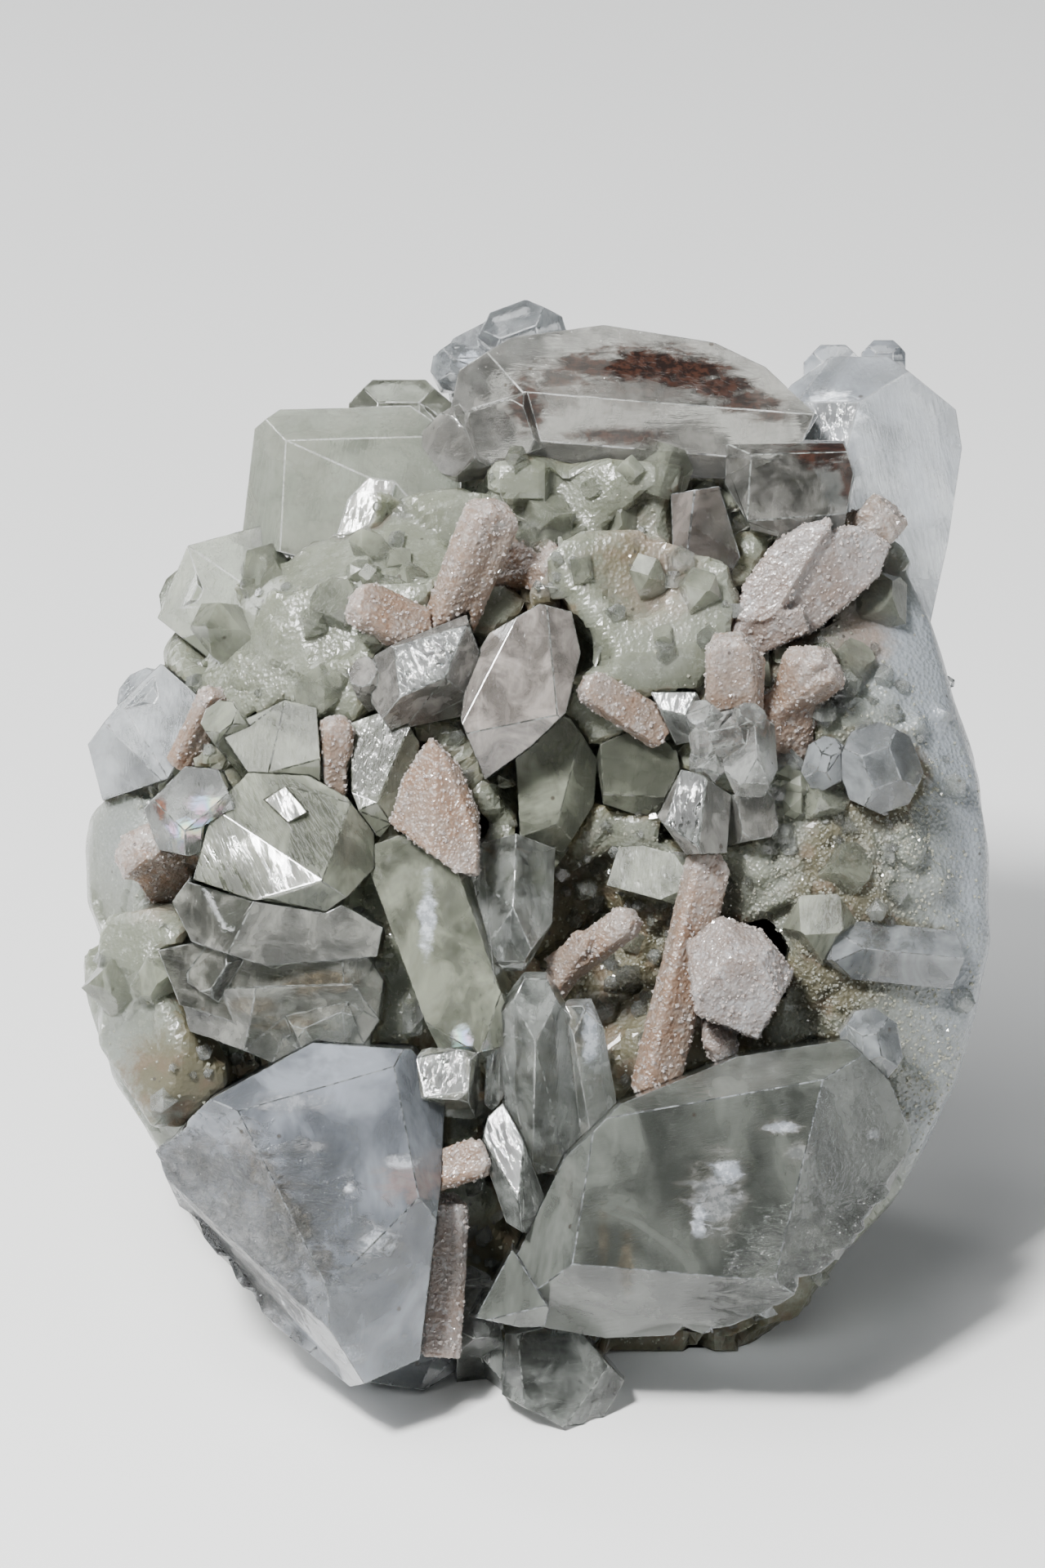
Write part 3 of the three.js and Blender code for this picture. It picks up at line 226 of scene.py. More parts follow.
marksAndPaintedHighlights = {
    # marks in a crystal, stains and painted highlights: middle on the face, reach in mm, depth, colour
    "apophyllite_top": [
        ((1.8, 32.3, -4), (1.8, 0.8, 14), 0.75, "brown"),
        ((3.8, 33, -4), (3, 0.9, 14), 0.85, "brown"),
        ((7.2, 33.2, -4), (3.4, 1.2, 14), 1.0, "brown"),
        ((10.2, 32.6, -4), (2.6, 1.1, 14), 1.0, "brown"),
        ((12.4, 31.6, -4), (2, 1, 14), 0.95, "brown"),
        ((14.2, 30.6, -4), (1.8, 0.8, 14), 0.85, "brown"),
        ((15.8, 29.6, -4), (1.6, 0.45, 14), 0.7, "brown"),
        ((7, 31.4, -4), (3.6, 1.6, 14), 0.35, "brown"),
        ((-0.6, 30.4, -3), (1, 1.8, 14), 0.85, "brown"),
        ((1.4, 31, -3), (2, 1.1, 14), 0.4, "brown"),
        ((5.2, 28.3, -3), (3, 0.5, 14), 0.8, "brown"),
    ],
    "apophyllite_top_small": [
        ((17, 28.2, -1), (2, 0.6, 9), 0.95, "brown"),
        ((19.6, 27.3, -1), (2.2, 1.1, 9), 1.0, "brown"),
        ((20.7, 25.6, -1), (0.5, 1.7, 9), 0.8, "brown"),
    ],
    # painted highlights: a bright spot on the knobs, and white flashes on the rear prism and the kite
    "apophyllite_top_knobs": [((-4.4, 33.7, -6), (0.8, 0.5, 14), 0.8, "frost")],
    "apophyllite_rear_prism": [((19.9, 29.7, -6), (1.7, 1.4, 14), 1.0, "flash")],
    "apophyllite_kite": [((0.3, 7.7, 4), (1.1, 0.5, 14), 0.9, "flash")],
    "apophyllite_left_prism": [
        # a painted highlight streak
        ((-7.1, -3.8, 4), (0.5, 2.2, 14), 0.5, "frost"),
        # a painted iridescent reflection
        ((-4.8, -12, 3), (0.6, 1.1, 12), 0.8, "rainbow"),
    ],
    "apophyllite_clear_prisms": [
        # painted highlight streaks
        ((3.6, -11.3, 4), (0.45, 2, 12), 0.5, "frost"),
        ((-2.9, -11.6, 4), (0.45, 1.6, 12), 0.4, "frost"),
    ],
    "apophyllite_left_clear": [
        ((-24.6, 3.5, 3), (0.35, 0.75, 6), 1.0, "rust"),
        # a rust stain, then painted iridescent reflections
        ((-22.2, 2.2, 3), (1.9, 0.9, 6), 0.8, "rainbow"),
        ((-21.6, 3.9, 3), (1.2, 0.6, 6), 0.7, "rainbow"),
    ],
    "apophyllite_lower_left": [
        ((-19, -18, 5), (1.1, 1.2, 14), 0.45, "umber"),
        ((-17.8, -19.8, 5), (1, 1.4, 14), 0.6, "umber"),
        ((-16.6, -21.6, 5), (0.9, 1.5, 14), 0.65, "umber"),
        ((-15.3, -23.7, 5), (0.9, 1.6, 14), 0.65, "umber"),
        ((-13.9, -25.8, 5), (0.9, 1.4, 14), 0.55, "umber"),
        ((-20, -24, 5), (6.5, 5, 14), 1.0, "broken"),
        ((-19.6, -25.5, 5), (5.5, 4.5, 14), 0.55, "dull"),
        ((-22.5, -20, 5), (2.4, 2.2, 14), 0.4, "dull"),
        # a painted pink glint
        ((-8, -20.8, 5), (2.4, 1.2, 14), 0.45, "painted_rose_glint"),
        # painted white highlights, as streaks and spots
        ((-8.6, -19.4, 5), (1.2, 0.4, 14), 0.6, "frost"),
        ((-16.2, -15.6, 5), (2.6, 0.6, 14), 0.45, "frost"),
        ((-14.8, -18.4, 5), (1.8, 0.4, 14), 0.35, "frost"),
        ((-12.1, -21.1, 5), (0.4, 0.35, 14), 0.8, "frost"),
        ((-10.4, -24.6, 5), (1.6, 1.2, 14), 0.65, "frost"),
        ((-12, -32, 5), (1.1, 0.7, 14), 0.6, "frost"),
    ],
    "apophyllite_lower_right": [
        ((5.9, -25.8, 6), (0.5, 2, 14), 0.45, "umber"),
        ((4.4, -24.5, 6), (0.35, 1.6, 14), 0.3, "umber"),
        ((20, -27, 4), (6, 4, 14), 0.7, "broken"),
        ((11.6, -21.6, 6), (1.7, 2.7, 14), 0.42, "frost"),
        ((12.4, -20, 6), (0.9, 0.7, 14), 0.7, "frost"),
        ((10.6, -23.3, 6), (0.5, 1.1, 14), 0.65, "frost"),
        ((15.7, -17.2, 6), (1.3, 0.5, 14), 0.7, "frost"),
        ((17, -18.8, 6), (0.9, 0.7, 14), 0.35, "frost"),
        ((22, -17.8, 6), (0.5, 0.4, 14), 0.5, "frost"),
    ],
    "apophyllite_broken_plates": [
        ((-14.5, -7.9, 3), (2.4, 0.8, 4), 0.6, "umber"),
        ((-18.5, -9.4, 3), (1.6, 0.5, 4), 0.45, "umber"),
        ((-15.5, -10.6, 3), (2.4, 0.5, 4), 0.5, "umber"),
    ],
}
markColours = {
    # the two colours that a mark wavers between
    "brown": ((0.010, 0.006, 0.005), (0.034, 0.015, 0.010)),
    "rust": ((0.04, 0.014, 0.008), (0.10, 0.035, 0.015)),
    "umber": ((0.05, 0.04, 0.024), (0.11, 0.088, 0.055)),
    # a painted pink glint
    "painted_rose_glint": ((0.34, 0.19, 0.17), (0.30, 0.22, 0.21)),
    # frosty veils, and on some crystals painted white highlights
    "frost": ((0.30, 0.33, 0.37), (0.62, 0.66, 0.72)),
    # a painted highlight
    "flash": ((0.55, 0.58, 0.62), (0.93, 0.95, 0.97)),
    "dull": ((0.085, 0.093, 0.085), (0.17, 0.18, 0.18)),
}


# a painted iridescent reflection
def rainbow(start, place):  # the colours of a thin gap inside a crystal
    bands = start.noise(place, 0.5, 1, 0.3)
    stops = [
        (0.3, (0.70, 0.45, 0.60)),
        (0.42, (0.75, 0.75, 0.50)),
        (0.5, (0.40, 0.72, 0.62)),
        (0.58, (0.40, 0.52, 0.80)),
        (0.7, (0.72, 0.45, 0.66)),
    ]
    return start.node("ShaderNodeValToRGB", {"stops": stops}, {"Fac": bands})


def crystalMaterial(name, kind, marks=(), glinting=False, own=None):
    look = {**apophyllite["looks"][kind], **(own or {})}
    clearTint, absorbed, density = apophyllite["glass"][kind]
    material, start = newMaterial(name)
    place = facePlace(start)
    grain = start.attribute("grain", 1)
    # cloudy veils, with finer wisps inside them
    cloud = start.noise(place, look["cloud"], 4, 0.6, 0.7)
    wisp = start.noise(start.stretched(place, (1, 0.45, 1)), look["cloud"] * 2.6, 3, 0.65, 0.6)
    veil = (cloud.between(0.38, 0.66) * 0.75 + wisp.between(0.46, 0.7) * 0.35).held()
    least, most = look["milk"]
    milk = veil * (most - least) + least
    # growth lines, low terraces and a dusty bloom
    lines = apophyllite["striae"]
    striae = start.noise(
        start.stretched(grain, (lines, lines, lines * apophyllite["striaeLength"])), 1.0, 3, 0.6
    )
    terraces = start.noise(grain, 0.55, 2, 0.4)
    steps = start.calculate("FLOOR", terraces * 14) / 14
    bloom = start.noise(place, 1.6, 3, 0.7)
    roughness = bloom.between(0.45, 0.8) * 0.2 + striae * 0.06 + (look["grease"] - 0.03)
    # colour: the tint drifts a little, specks of dirt sit in it
    tint = look["tint"]
    paler = tuple(part * 1.4 for part in tint)
    colour = cloud.between(0.35, 0.7).fade(tint, paler)
    speck = (1 - start.cells(place, 0.34).between(0.035, 0.075)) * 0.85
    colour = speck.fade(colour, (0.05, 0.04, 0.03))
    milk = milk.higher(speck)
    ragged = start.noise(start.stretched(place, (0.5, 1.1, 1)), 1.0, 4, 0.7, 0.6) if marks else None
    mottled = start.noise(place, 1.5, 3, 0.7).between(0.42, 0.6) if marks else None
    broken = marked = markColour = None
    # each mark fades in its colour: stains, a duller face, painted highlights and painted iridescent
    # reflections
    for centre, reach, depth, shade in marks:
        mark = patch(start, place, centre, reach, ragged * 2.6 - 1.3) * depth
        if shade == "broken":
            broken = mark
            continue
        if shade == "rainbow":
            shadeColour = rainbow(start, place)
        else:
            first, second = markColours[shade]
            shadeColour = mottled.fade(first, second)
        markColour = mark.fade(markColour, shadeColour) if marked else shadeColour
        marked = marked.higher(mark) if marked else mark
    coat = 0.7
    if glinting:  # the flash breaks up into stripes
        dullStripes = striae.between(0.44, 0.54)
        roughness = (roughness + dullStripes * 0.55).held()
        coat = 0.85 - dullStripes * 0.8
    relief = start.bump(striae, 0.8, 0.1 if glinting else 0.045)
    relief = start.bump(steps, 0.5, 0.12, relief)
    if broken:
        chips = start.cells(place, 0.9) + start.noise(place, 2.4, 3, 0.65)
        relief = start.bump(chips * broken, 1.0, 0.9, relief)
    glass = start.principled({
        "Base Color": (*clearTint, 1),
        "Roughness": roughness,
        "Normal": relief,
        "IOR": apophyllite["ior"],
        "Transmission Weight": 1.0,
    })
    body = start.principled({
        "Base Color": colour,
        "Roughness": roughness,
        "Normal": relief,
        "IOR": apophyllite["ior"],
        "Subsurface Weight": 0.55,
        "Subsurface Radius": apophyllite["subsurface"],
        "Subsurface Scale": mm,
        "Coat Weight": coat,
        "Coat Roughness": 0.04,
    })
    inside = start.node(
        "ShaderNodeVolumeAbsorption", {}, {"Color": (*absorbed, 1), "Density": density}
    )
    surface = start.mixShader(milk, glass, body)
    # the marks, stains and painted highlights alike, lie over the crystal as a surface of their own
    if marked:
        stainAndHighlightShader = start.principled(
            {"Base Color": markColour, "Roughness": 0.3, "Normal": relief, "IOR": 1.35}
        )
        surface = start.mixShader(marked, surface, stainAndHighlightShader)
    output(surface, inside)
    return material


def wornEdgeMaterial(name, tint):
    # the chipped, frosty edge of a crystal
    material, start = newMaterial(name)
    place = facePlace(start)
    frost = start.noise(place, 2.2, 3, 0.7)
    paler = tuple(part * 1.25 + 0.03 for part in tint)
    body = start.principled({
        "Base Color": frost.between(0.35, 0.65).fade(tint, paler),
        "Roughness": frost * 0.25 + 0.05,
        "Normal": start.bump(frost, 0.4, 0.05),
        "IOR": apophyllite["ior"],
        "Subsurface Weight": 0.55,
        "Subsurface Radius": apophyllite["subsurface"],
        "Subsurface Scale": mm,
    })
    glass = start.principled({
        "Base Color": (0.97, 0.98, 0.98, 1),
        "Roughness": 0.12,
        "IOR": apophyllite["ior"],
        "Transmission Weight": 1.0,
    })
    output(start.mixShader(frost.between(0.4, 0.6) * 0.4 + 0.1, glass, body))
    return material


stilbiteLook = {
    "peach": (0.245, 0.158, 0.108),
    "pale": (0.255, 0.195, 0.155),
    "white": (0.39, 0.362, 0.34),
    "subsurface": (1.8, 1.3, 1.0),
    "sugar": 4.2,  # grains per mm
}
frostedLook = {"peach": (0.24, 0.185, 0.155), "pale": (0.27, 0.235, 0.215), "white": (0.43, 0.425, 0.43)}


def stilbiteMaterial(name, look):
    material, start = newMaterial(name)
    place = facePlace(start)
    grain = start.attribute("grain", 1)
    drift = start.noise(place, 0.32, 3, 0.6)
    frost = start.noise(place, 1.1, 3, 0.7, 0.4)
    rays = start.noise(start.stretched(grain, (3.6, 3.6, 0.35)), 1.0, 2, 0.6)
    sugar = start.cells(place, stilbiteLook["sugar"])
    peach, pale, white = (look[key] for key in ("peach", "pale", "white"))
    colour = drift.between(0.36, 0.62).fade(peach, pale)
    colour = (frost.between(0.5, 0.72) * 0.7).fade(colour, white)
    colour = (rays.between(0.5, 0.75) * 0.3).fade(colour, peach)
    tip = start.attribute("tip")
    colour = (tip * frost.between(0.25, 0.6) * 0.75).fade(colour, white)
    speck = 1 - start.cells(place, 0.5).between(0.04, 0.08)
    colour = (speck * 0.8).fade(colour, (0.05, 0.035, 0.03))
    relief = start.bump(rays, 0.5, 0.1)
    relief = start.bump(sugar, 0.8, 0.1, relief)
    body = start.principled({
        "Base Color": colour,
        "Roughness": frost * 0.35 + 0.22,
        "Normal": relief,
        "IOR": 1.5,
        "Subsurface Weight": 0.55,
        "Subsurface Radius": stilbiteLook["subsurface"],
        "Subsurface Scale": mm,
        "Transmission Weight": 0.22,
        "Coat Weight": 0.35,
        "Coat Roughness": 0.15,
    })
    output(body)
    return material


hostLook = {
    "sage": (0.127, 0.136, 0.1),
    "pale": (0.182, 0.193, 0.155),
    "rind": (0.245, 0.268, 0.292),
    "rosy": (0.235, 0.165, 0.125),
    "olive": (0.085, 0.073, 0.036),
    "rust": (0.11, 0.06, 0.03),
    "subsurface": (2.6, 2.6, 2.1),
}


def hostMaterial():
    material, start = newMaterial("host_rock")
    place = facePlace(start)
    dirt = start.attribute("dirt")
    rind = start.attribute("rind")
    sugary = start.attribute("sugary")
    rosy = start.attribute("rosy")
    broad = start.noise(place, 0.16, 4, 0.6, 0.5)
    fine = start.noise(place, 1.3, 4, 0.72)
    grains = start.cells(place, 3.4)
    sage, pale, blue = (hostLook[key] for key in ("sage", "pale", "rind"))
    colour = broad.between(0.36, 0.64).fade(sage, pale)
    colour = (rind * 0.9).held().fade(colour, blue)
    colour = (fine.between(0.52, 0.75) * 0.4).fade(colour, (0.31, 0.33, 0.29))
    blush = (rosy * 1.2 + fine * 0.6 - 0.45).between(0.1, 0.7) * 0.75
    colour = blush.fade(colour, hostLook["rosy"])
    # dirt spots, and a darkening next to every crystal the host meets, turn the colour olive and rust and
    # the surface rougher
    grimeAndSeamDarkening = (dirt * 1.3 + fine - 0.62).between(0.12, 0.62)
    rusty = start.noise(place, 0.5, 3, 0.5).between(0.5, 0.62)
    muck = (rusty * 0.55).fade(hostLook["olive"], hostLook["rust"])
    colour = (grimeAndSeamDarkening * 0.86).fade(colour, muck)
    speck = 1 - start.cells(place, 0.6).between(0.05, 0.1)
    colour = (speck * 0.8).fade(colour, (0.04, 0.035, 0.03))
    relief = start.bump(fine, 0.45, 0.16)
    relief = start.bump(grains * (sugary + rind * 0.7 + 0.12), 0.9, 0.15, relief)
    body = start.principled({
        "Base Color": colour,
        "Roughness": (fine * 0.24 + 0.12 + sugary * 0.12 + grimeAndSeamDarkening * 0.3).held(),
        "Normal": relief,
        "IOR": 1.52,
        "Subsurface Weight": 0.6,
        "Subsurface Radius": hostLook["subsurface"],
        "Subsurface Scale": mm,
        "Coat Weight": 0.22,
        "Coat Roughness": 0.12,
    })
    output(body)
    return material


def sparkleMaterial(name, tint, clearness):
    # the tiny crystals that dust everything
    material, start = newMaterial(name)
    place = facePlace(start)
    mix = start.noise(place, 1.7, 3, 0.6)
    paler = tuple(part * 1.2 for part in tint)
    body = start.principled({
        "Base Color": mix.between(0.4, 0.6).fade(tint, paler),
        "Roughness": 0.12,
        "IOR": apophyllite["ior"],
        "Subsurface Weight": 0.5,
        "Subsurface Radius": (0.4, 0.4, 0.4),
        "Subsurface Scale": mm,
    })
    glass = start.principled({
        "Base Color": (0.98, 0.98, 0.98, 1),
        "Roughness": 0.05,
        "IOR": apophyllite["ior"],
        "Transmission Weight": 1.0,
    })
    output(start.mixShader(1 - clearness, glass, body))
    return material


# Crystals

crystalEdges = {
    "weld": 0.004,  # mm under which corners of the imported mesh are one
    "flat": 1.5,  # degrees between faces that are one facet
    "seat": 0.36,  # mm of clearance that is closed up
    "kept": 0.03,  # mm of it that stays
    "nickEvery": 0.7,  # mm between the points of a chipped edge
    "rim": 0.065,  # mm width of the worn strip beside an edge
    "wear": 0.45,  # least share of that strip that is worn away
    "nick": 1.3,  # and the most more, at a nick
}

# the way each crystal's growth lines run on the face; most run up the face
growthLines = {
    "apophyllite_lower_left": (0.45, 0.85, 0.25),
    "apophyllite_lower_right": (0.95, 0.25, 0.1),
    "apophyllite_flash_prism": (0.42, -0.9, 0.1),
    "apophyllite_left_dome": (0.42, -0.88, 0.2),
    "apophyllite_left_prism": (0.4, -0.9, 0.15),
    "apophyllite_kite": (-0.55, 0.75, 0.3),
    "apophyllite_upper_left": (0.2, 0.97, 0.1),
    "apophyllite_top": (0.99, 0.05, 0.1),
    "apophyllite_rear_prism": (-0.12, 0.99, 0.1),
    "apophyllite_arrow": (0.97, -0.1, 0.2),
    "apophyllite_broken_plates": (0.95, -0.25, 0.1),
}

crystalKinds = {
    slot: slot.split("_")[1]
    for slot in ("apophyllite_clear", "apophyllite_milky", "apophyllite_green", "apophyllite_smoky")
}
slotOf = {part["node"]: part["material_slot"] for part in frame["record"]["subparts"]}


def alongGrain(points, axis):
    # places measured across and along the growth lines, in mm
    lengthwise = (faceTurn @ Vector(axis)).normalized()
    return (points / mm) @ np.array(lengthwise.to_track_quat("Z", "Y").to_matrix())


def grainAttribute(mesh, axis):
    points = np.empty(len(mesh.vertices) * 3, np.float32)
    mesh.vertices.foreach_get("co", points)
    local = alongGrain(points.reshape(-1, 3), axis)
    mesh.attributes.new("grain", "FLOAT_VECTOR", "POINT").data.foreach_set("vector", local.ravel())


def packedCopy(name):
    bm = bmesh.new()
    bm.from_mesh(frame["nodes"][name].data)
    bmesh.ops.remove_doubles(bm, verts=bm.verts, dist=crystalEdges["weld"] * mm)
    return bm


def closeSeat(bm, neighbours):
    # moves the walls of a seat up to the crystals that stand in it
    reach, kept = crystalEdges["seat"] * mm, crystalEdges["kept"] * mm
    for vert in bm.verts:
        for tree in neighbours:
            spot, _, _, distance = tree.find_nearest(vert.co, reach)
            if spot and distance > kept:
                vert.co += (spot - vert.co) * (1 - kept / distance)
                break


def splitLongEdges(bm, step):
    for edge in list(bm.edges):
        cuts = int(edge.calc_length() / step)
        start, end = edge.verts
        for left in range(cuts, 0, -1):
            _, fresh = bmesh.utils.edge_split(edge, start, 1 / (left + 1))
            edge = next(e for e in fresh.link_edges if e.other_vert(fresh) != start)
            start = fresh


# stretches of edge that are broken in notches: middle on the face, reach and depth in mm
chippedEdges = {
    "apophyllite_lower_left": [((-19, -28), 8, 1.5), ((-24.5, -18), 3, 1.0)],
    "apophyllite_lower_right": [((20, -25), 7.5, 1.8), ((11, -32), 5, 1.0)],
    "apophyllite_broken_plates": [((-17, -8), 8, 0.3)],
    "apophyllite_bottom_clear": [((3, -36), 4, 0.6)],
}


def notchEdges(bm, stretches):
    # pulls the outline in along the face, the flat front stays as it is
    middle = sum((vert.co for vert in bm.verts), Vector()) / len(bm.verts)
    bm.normal_update()
    for vert in bm.verts:
        u, v, _ = faceArray(np.array([vert.co[:]]))[0]
        sideways = max(0.0, min(1.0, 2.2 - 2.4 * abs(vert.normal.dot(faceOut))))
        inward = middle - vert.co
        inward = (inward - faceOut * inward.dot(faceOut)).normalized()
        jag = noise.noise(vert.co / mm * 0.75) + 0.7 * noise.noise(vert.co / mm * 2.2)
        for centre, reach, depth in stretches:
            near = 1 - math.hypot(u - centre[0], v - centre[1]) / reach
            if near > 0:
                vert.co += inward * max(0.0, jag) * min(1, near * 3) * sideways * depth * mm


def wearEdges(bm):
    # insets every facet, then pulls the old edges in unevenly, so that they read as chipped
    rim = crystalEdges["rim"] * mm
    wide = [
        face
        for face in bm.faces
        if face.calc_area() > 0.25 * mm * mm and 2 * face.calc_area() / face.calc_perimeter() > 2.2 * rim
    ]
    corners = set(bm.verts)
    bmesh.ops.inset_individual(bm, faces=wide, thickness=rim, use_even_offset=True)
    moves = {}
    for vert in corners:
        inner = [e.other_vert(vert) for e in vert.link_edges if e.other_vert(vert) not in corners]
        if not inner:
            continue
        middle = sum((v.co for v in inner), Vector()) / len(inner)
        bite = max(0.0, noise.noise(vert.co / mm * 0.45)) * 2
        share = crystalEdges["wear"] + crystalEdges["nick"] * bite * bite
        moves[vert] = vert.co.lerp(middle, share)
    for vert, spot in moves.items():
        vert.co = spot
    for face in bm.faces:
        face.material_index = 1 if any(v in corners for v in face.verts) else 0


def newPiece(name, bm, materials, replaced=()):
    mesh = bpy.data.meshes.new(name)
    bm.to_mesh(mesh)
    bm.free()
    return placePiece(name, mesh, materials, replaced)


def placePiece(name, mesh, materials, replaced=()):
    for material in materials:
        mesh.materials.append(material)
    piece = bpy.data.objects.new(name, mesh)
    bpy.context.scene.collection.objects.link(piece)
    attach(piece, "root")
    if replaced:
        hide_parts(*replaced)
    return piece


crystalMaterials = {slot: crystalMaterial(slot, kind) for slot, kind in crystalKinds.items()}
edgeMaterials = {
    slot: wornEdgeMaterial(f"{slot}_edge", apophyllite["looks"][kind]["tint"])
    for slot, kind in crystalKinds.items()
}
glintMaterials = {
    slot: crystalMaterial(f"{slot}_glint", kind, glinting=True) for slot, kind in crystalKinds.items()
}
glint = (faceTurn @ Vector((-0.19, 0.29, 0.94))).normalized()  # the facets that flash look this way
glintReach = math.radians(4)
ownLooks = {
    # crystals whose cloudiness or tint isn't their kind's
    "apophyllite_lower_left": {"tint": (0.205, 0.221, 0.247), "milk": (0.3, 0.8), "cloud": 0.13},
    "apophyllite_lower_right": {"tint": (0.1, 0.107, 0.095), "milk": (0.3, 0.85), "cloud": 0.12},
    "apophyllite_upper_left": {"tint": (0.145, 0.15, 0.125)},
    "apophyllite_top": {"tint": (0.195, 0.19, 0.175), "milk": (0.15, 0.6)},
    "apophyllite_top_small": {"tint": (0.2, 0.195, 0.18), "milk": (0.12, 0.5)},
    "apophyllite_upper_right_shard": {"tint": (0.24, 0.21, 0.19), "milk": (0.1, 0.6)},
    "apophyllite_rear_prism": {"tint": (0.205, 0.22, 0.238)},
    "apophyllite_centre": {"tint": (0.25, 0.225, 0.205), "milk": (0.35, 0.8)},
    "apophyllite_kite": {"tint": (0.225, 0.215, 0.198), "milk": (0.25, 0.7)},
    "apophyllite_right_clear_group": {"tint": (0.31, 0.315, 0.30), "milk": (0.12, 0.5)},
    "apophyllite_right_cube": {"tint": (0.26, 0.255, 0.235), "milk": (0.2, 0.6)},
    "apophyllite_small_cube": {"tint": (0.23, 0.235, 0.2), "milk": (0.2, 0.7)},
    "apophyllite_broken_plates": {"tint": (0.235, 0.235, 0.208), "milk": (0.12, 0.55)},
}
hostStone = hostMaterial()
stilbiteStone = stilbiteMaterial("stilbite", stilbiteLook)
frostedStone = stilbiteMaterial("stilbite_frosted", frostedLook)
frostedBlades = ("stilbite_edge_strip", "stilbite_block_right", "stilbite_sheaf_right")
print("materials ready")

finishedTrees = []
crystalNames = sorted(
    (name for name in frame["nodes"] if name.startswith("apophyllite")),
    key=lambda name: -(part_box(name)[1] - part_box(name)[0]).length,
)
for name in crystalNames:
    bm = packedCopy(name)
    closeSeat(bm, finishedTrees)
    finishedTrees.append(BVHTree.FromBMesh(bm))
    flat = math.radians(crystalEdges["flat"])
    bmesh.ops.dissolve_limit(bm, angle_limit=flat, verts=bm.verts, edges=bm.edges)
    splitLongEdges(bm, crystalEdges["nickEvery"] * mm)
    wearEdges(bm)
    notchEdges(bm, chippedEdges.get(name, ()))
    bmesh.ops.recalc_face_normals(bm, faces=bm.faces)
    for face in bm.faces:
        if face.normal.angle(glint) < glintReach and face.material_index == 0:
            face.material_index = 2
    slot = slotOf[name]
    material = crystalMaterials[slot]
    if name in marksAndPaintedHighlights or name in ownLooks:
        marks = marksAndPaintedHighlights.get(name, ())
        material = crystalMaterial(name, crystalKinds[slot], marks, own=ownLooks.get(name))
    materials = [material, edgeMaterials[slot], glintMaterials[slot]]
    piece = newPiece(f"{name}_look", bm, materials, [name])
    grainAttribute(piece.data, growthLines.get(name, (0.1, 0.99, 0.1)))
print("crystals dressed:", len(crystalNames))


# Stilbite blades

bladeShape = {
    "voxel": 0.14,  # mm
    "swell": 0.055,  # mm that the grainy skin moves in and out
    "ridge": 0.1,  # mm height of the ribs along a blade
    "ribs": 1.3,  # ribs per mm across it
    "ribLength": 0.12,  # and along it
}
# the way each blade points on the face
bladeAxes = {
    "stilbite_blade_upper": (0.36, 0.88, 0.3),
    "stilbite_blade_upper_left": (-0.86, 0.42, 0.28),
    "stilbite_shaded": (0.75, -0.1, 0.5),
    "stilbite_blade_small": (-0.8, 0.52, 0.3),
    "stilbite_left_blade": (0.4, 0.78, 0.48),
    "stilbite_wedge": (0.3, -0.95, 0),
    "stilbite_post": (-0.05, 0.92, 0.38),
    "stilbite_sheaf_right": (0.5, 0.6, 0.3),
    "stilbite_sheaf_lower": (0.5, 0.76, 0.42),
    "stilbite_long_blade": (0.235, 0.97, 0.04),
    "stilbite_block_right": (0.6, -0.5, 0.6),
    "stilbite_low_blade": (0.76, 0.56, 0.32),
    "stilbite_tongue": (0.9, 0.36, 0.16),
    "stilbite_edge_strip": (0.06, 0.99, 0.05),
    "stilbite_left_patch": (-0.42, 0.3, 0.85),
    "stilbite_upper_right": (0.35, 0.3, 0.88),
    "stilbite_inner_left": (0.04, 0.95, 0.3),
}


def remeshed(name, bm, voxel):
    rough = bpy.data.meshes.new(name)
    bm.to_mesh(rough)
    bm.free()
    helper = bpy.data.objects.new(name, rough)
    bpy.context.scene.collection.objects.link(helper)
    remesh = helper.modifiers.new("voxels", "REMESH")
    remesh.mode = "VOXEL"
    remesh.voxel_size = voxel * mm
    tree = bpy.context.evaluated_depsgraph_get()
    mesh = bpy.data.meshes.new_from_object(helper.evaluated_get(tree))
    bpy.data.objects.remove(helper)
    return mesh


def vertexArrays(mesh):
    points = np.empty(len(mesh.vertices) * 3, np.float32)
    normals = np.empty(len(mesh.vertices) * 3, np.float32)
    mesh.vertices.foreach_get("co", points)
    mesh.vertex_normals.foreach_get("vector", normals)
    return points.reshape(-1, 3), normals.reshape(-1, 3)


def setPoints(mesh, points):
    mesh.vertices.foreach_set("co", points.astype(np.float32).ravel())
    mesh.update()


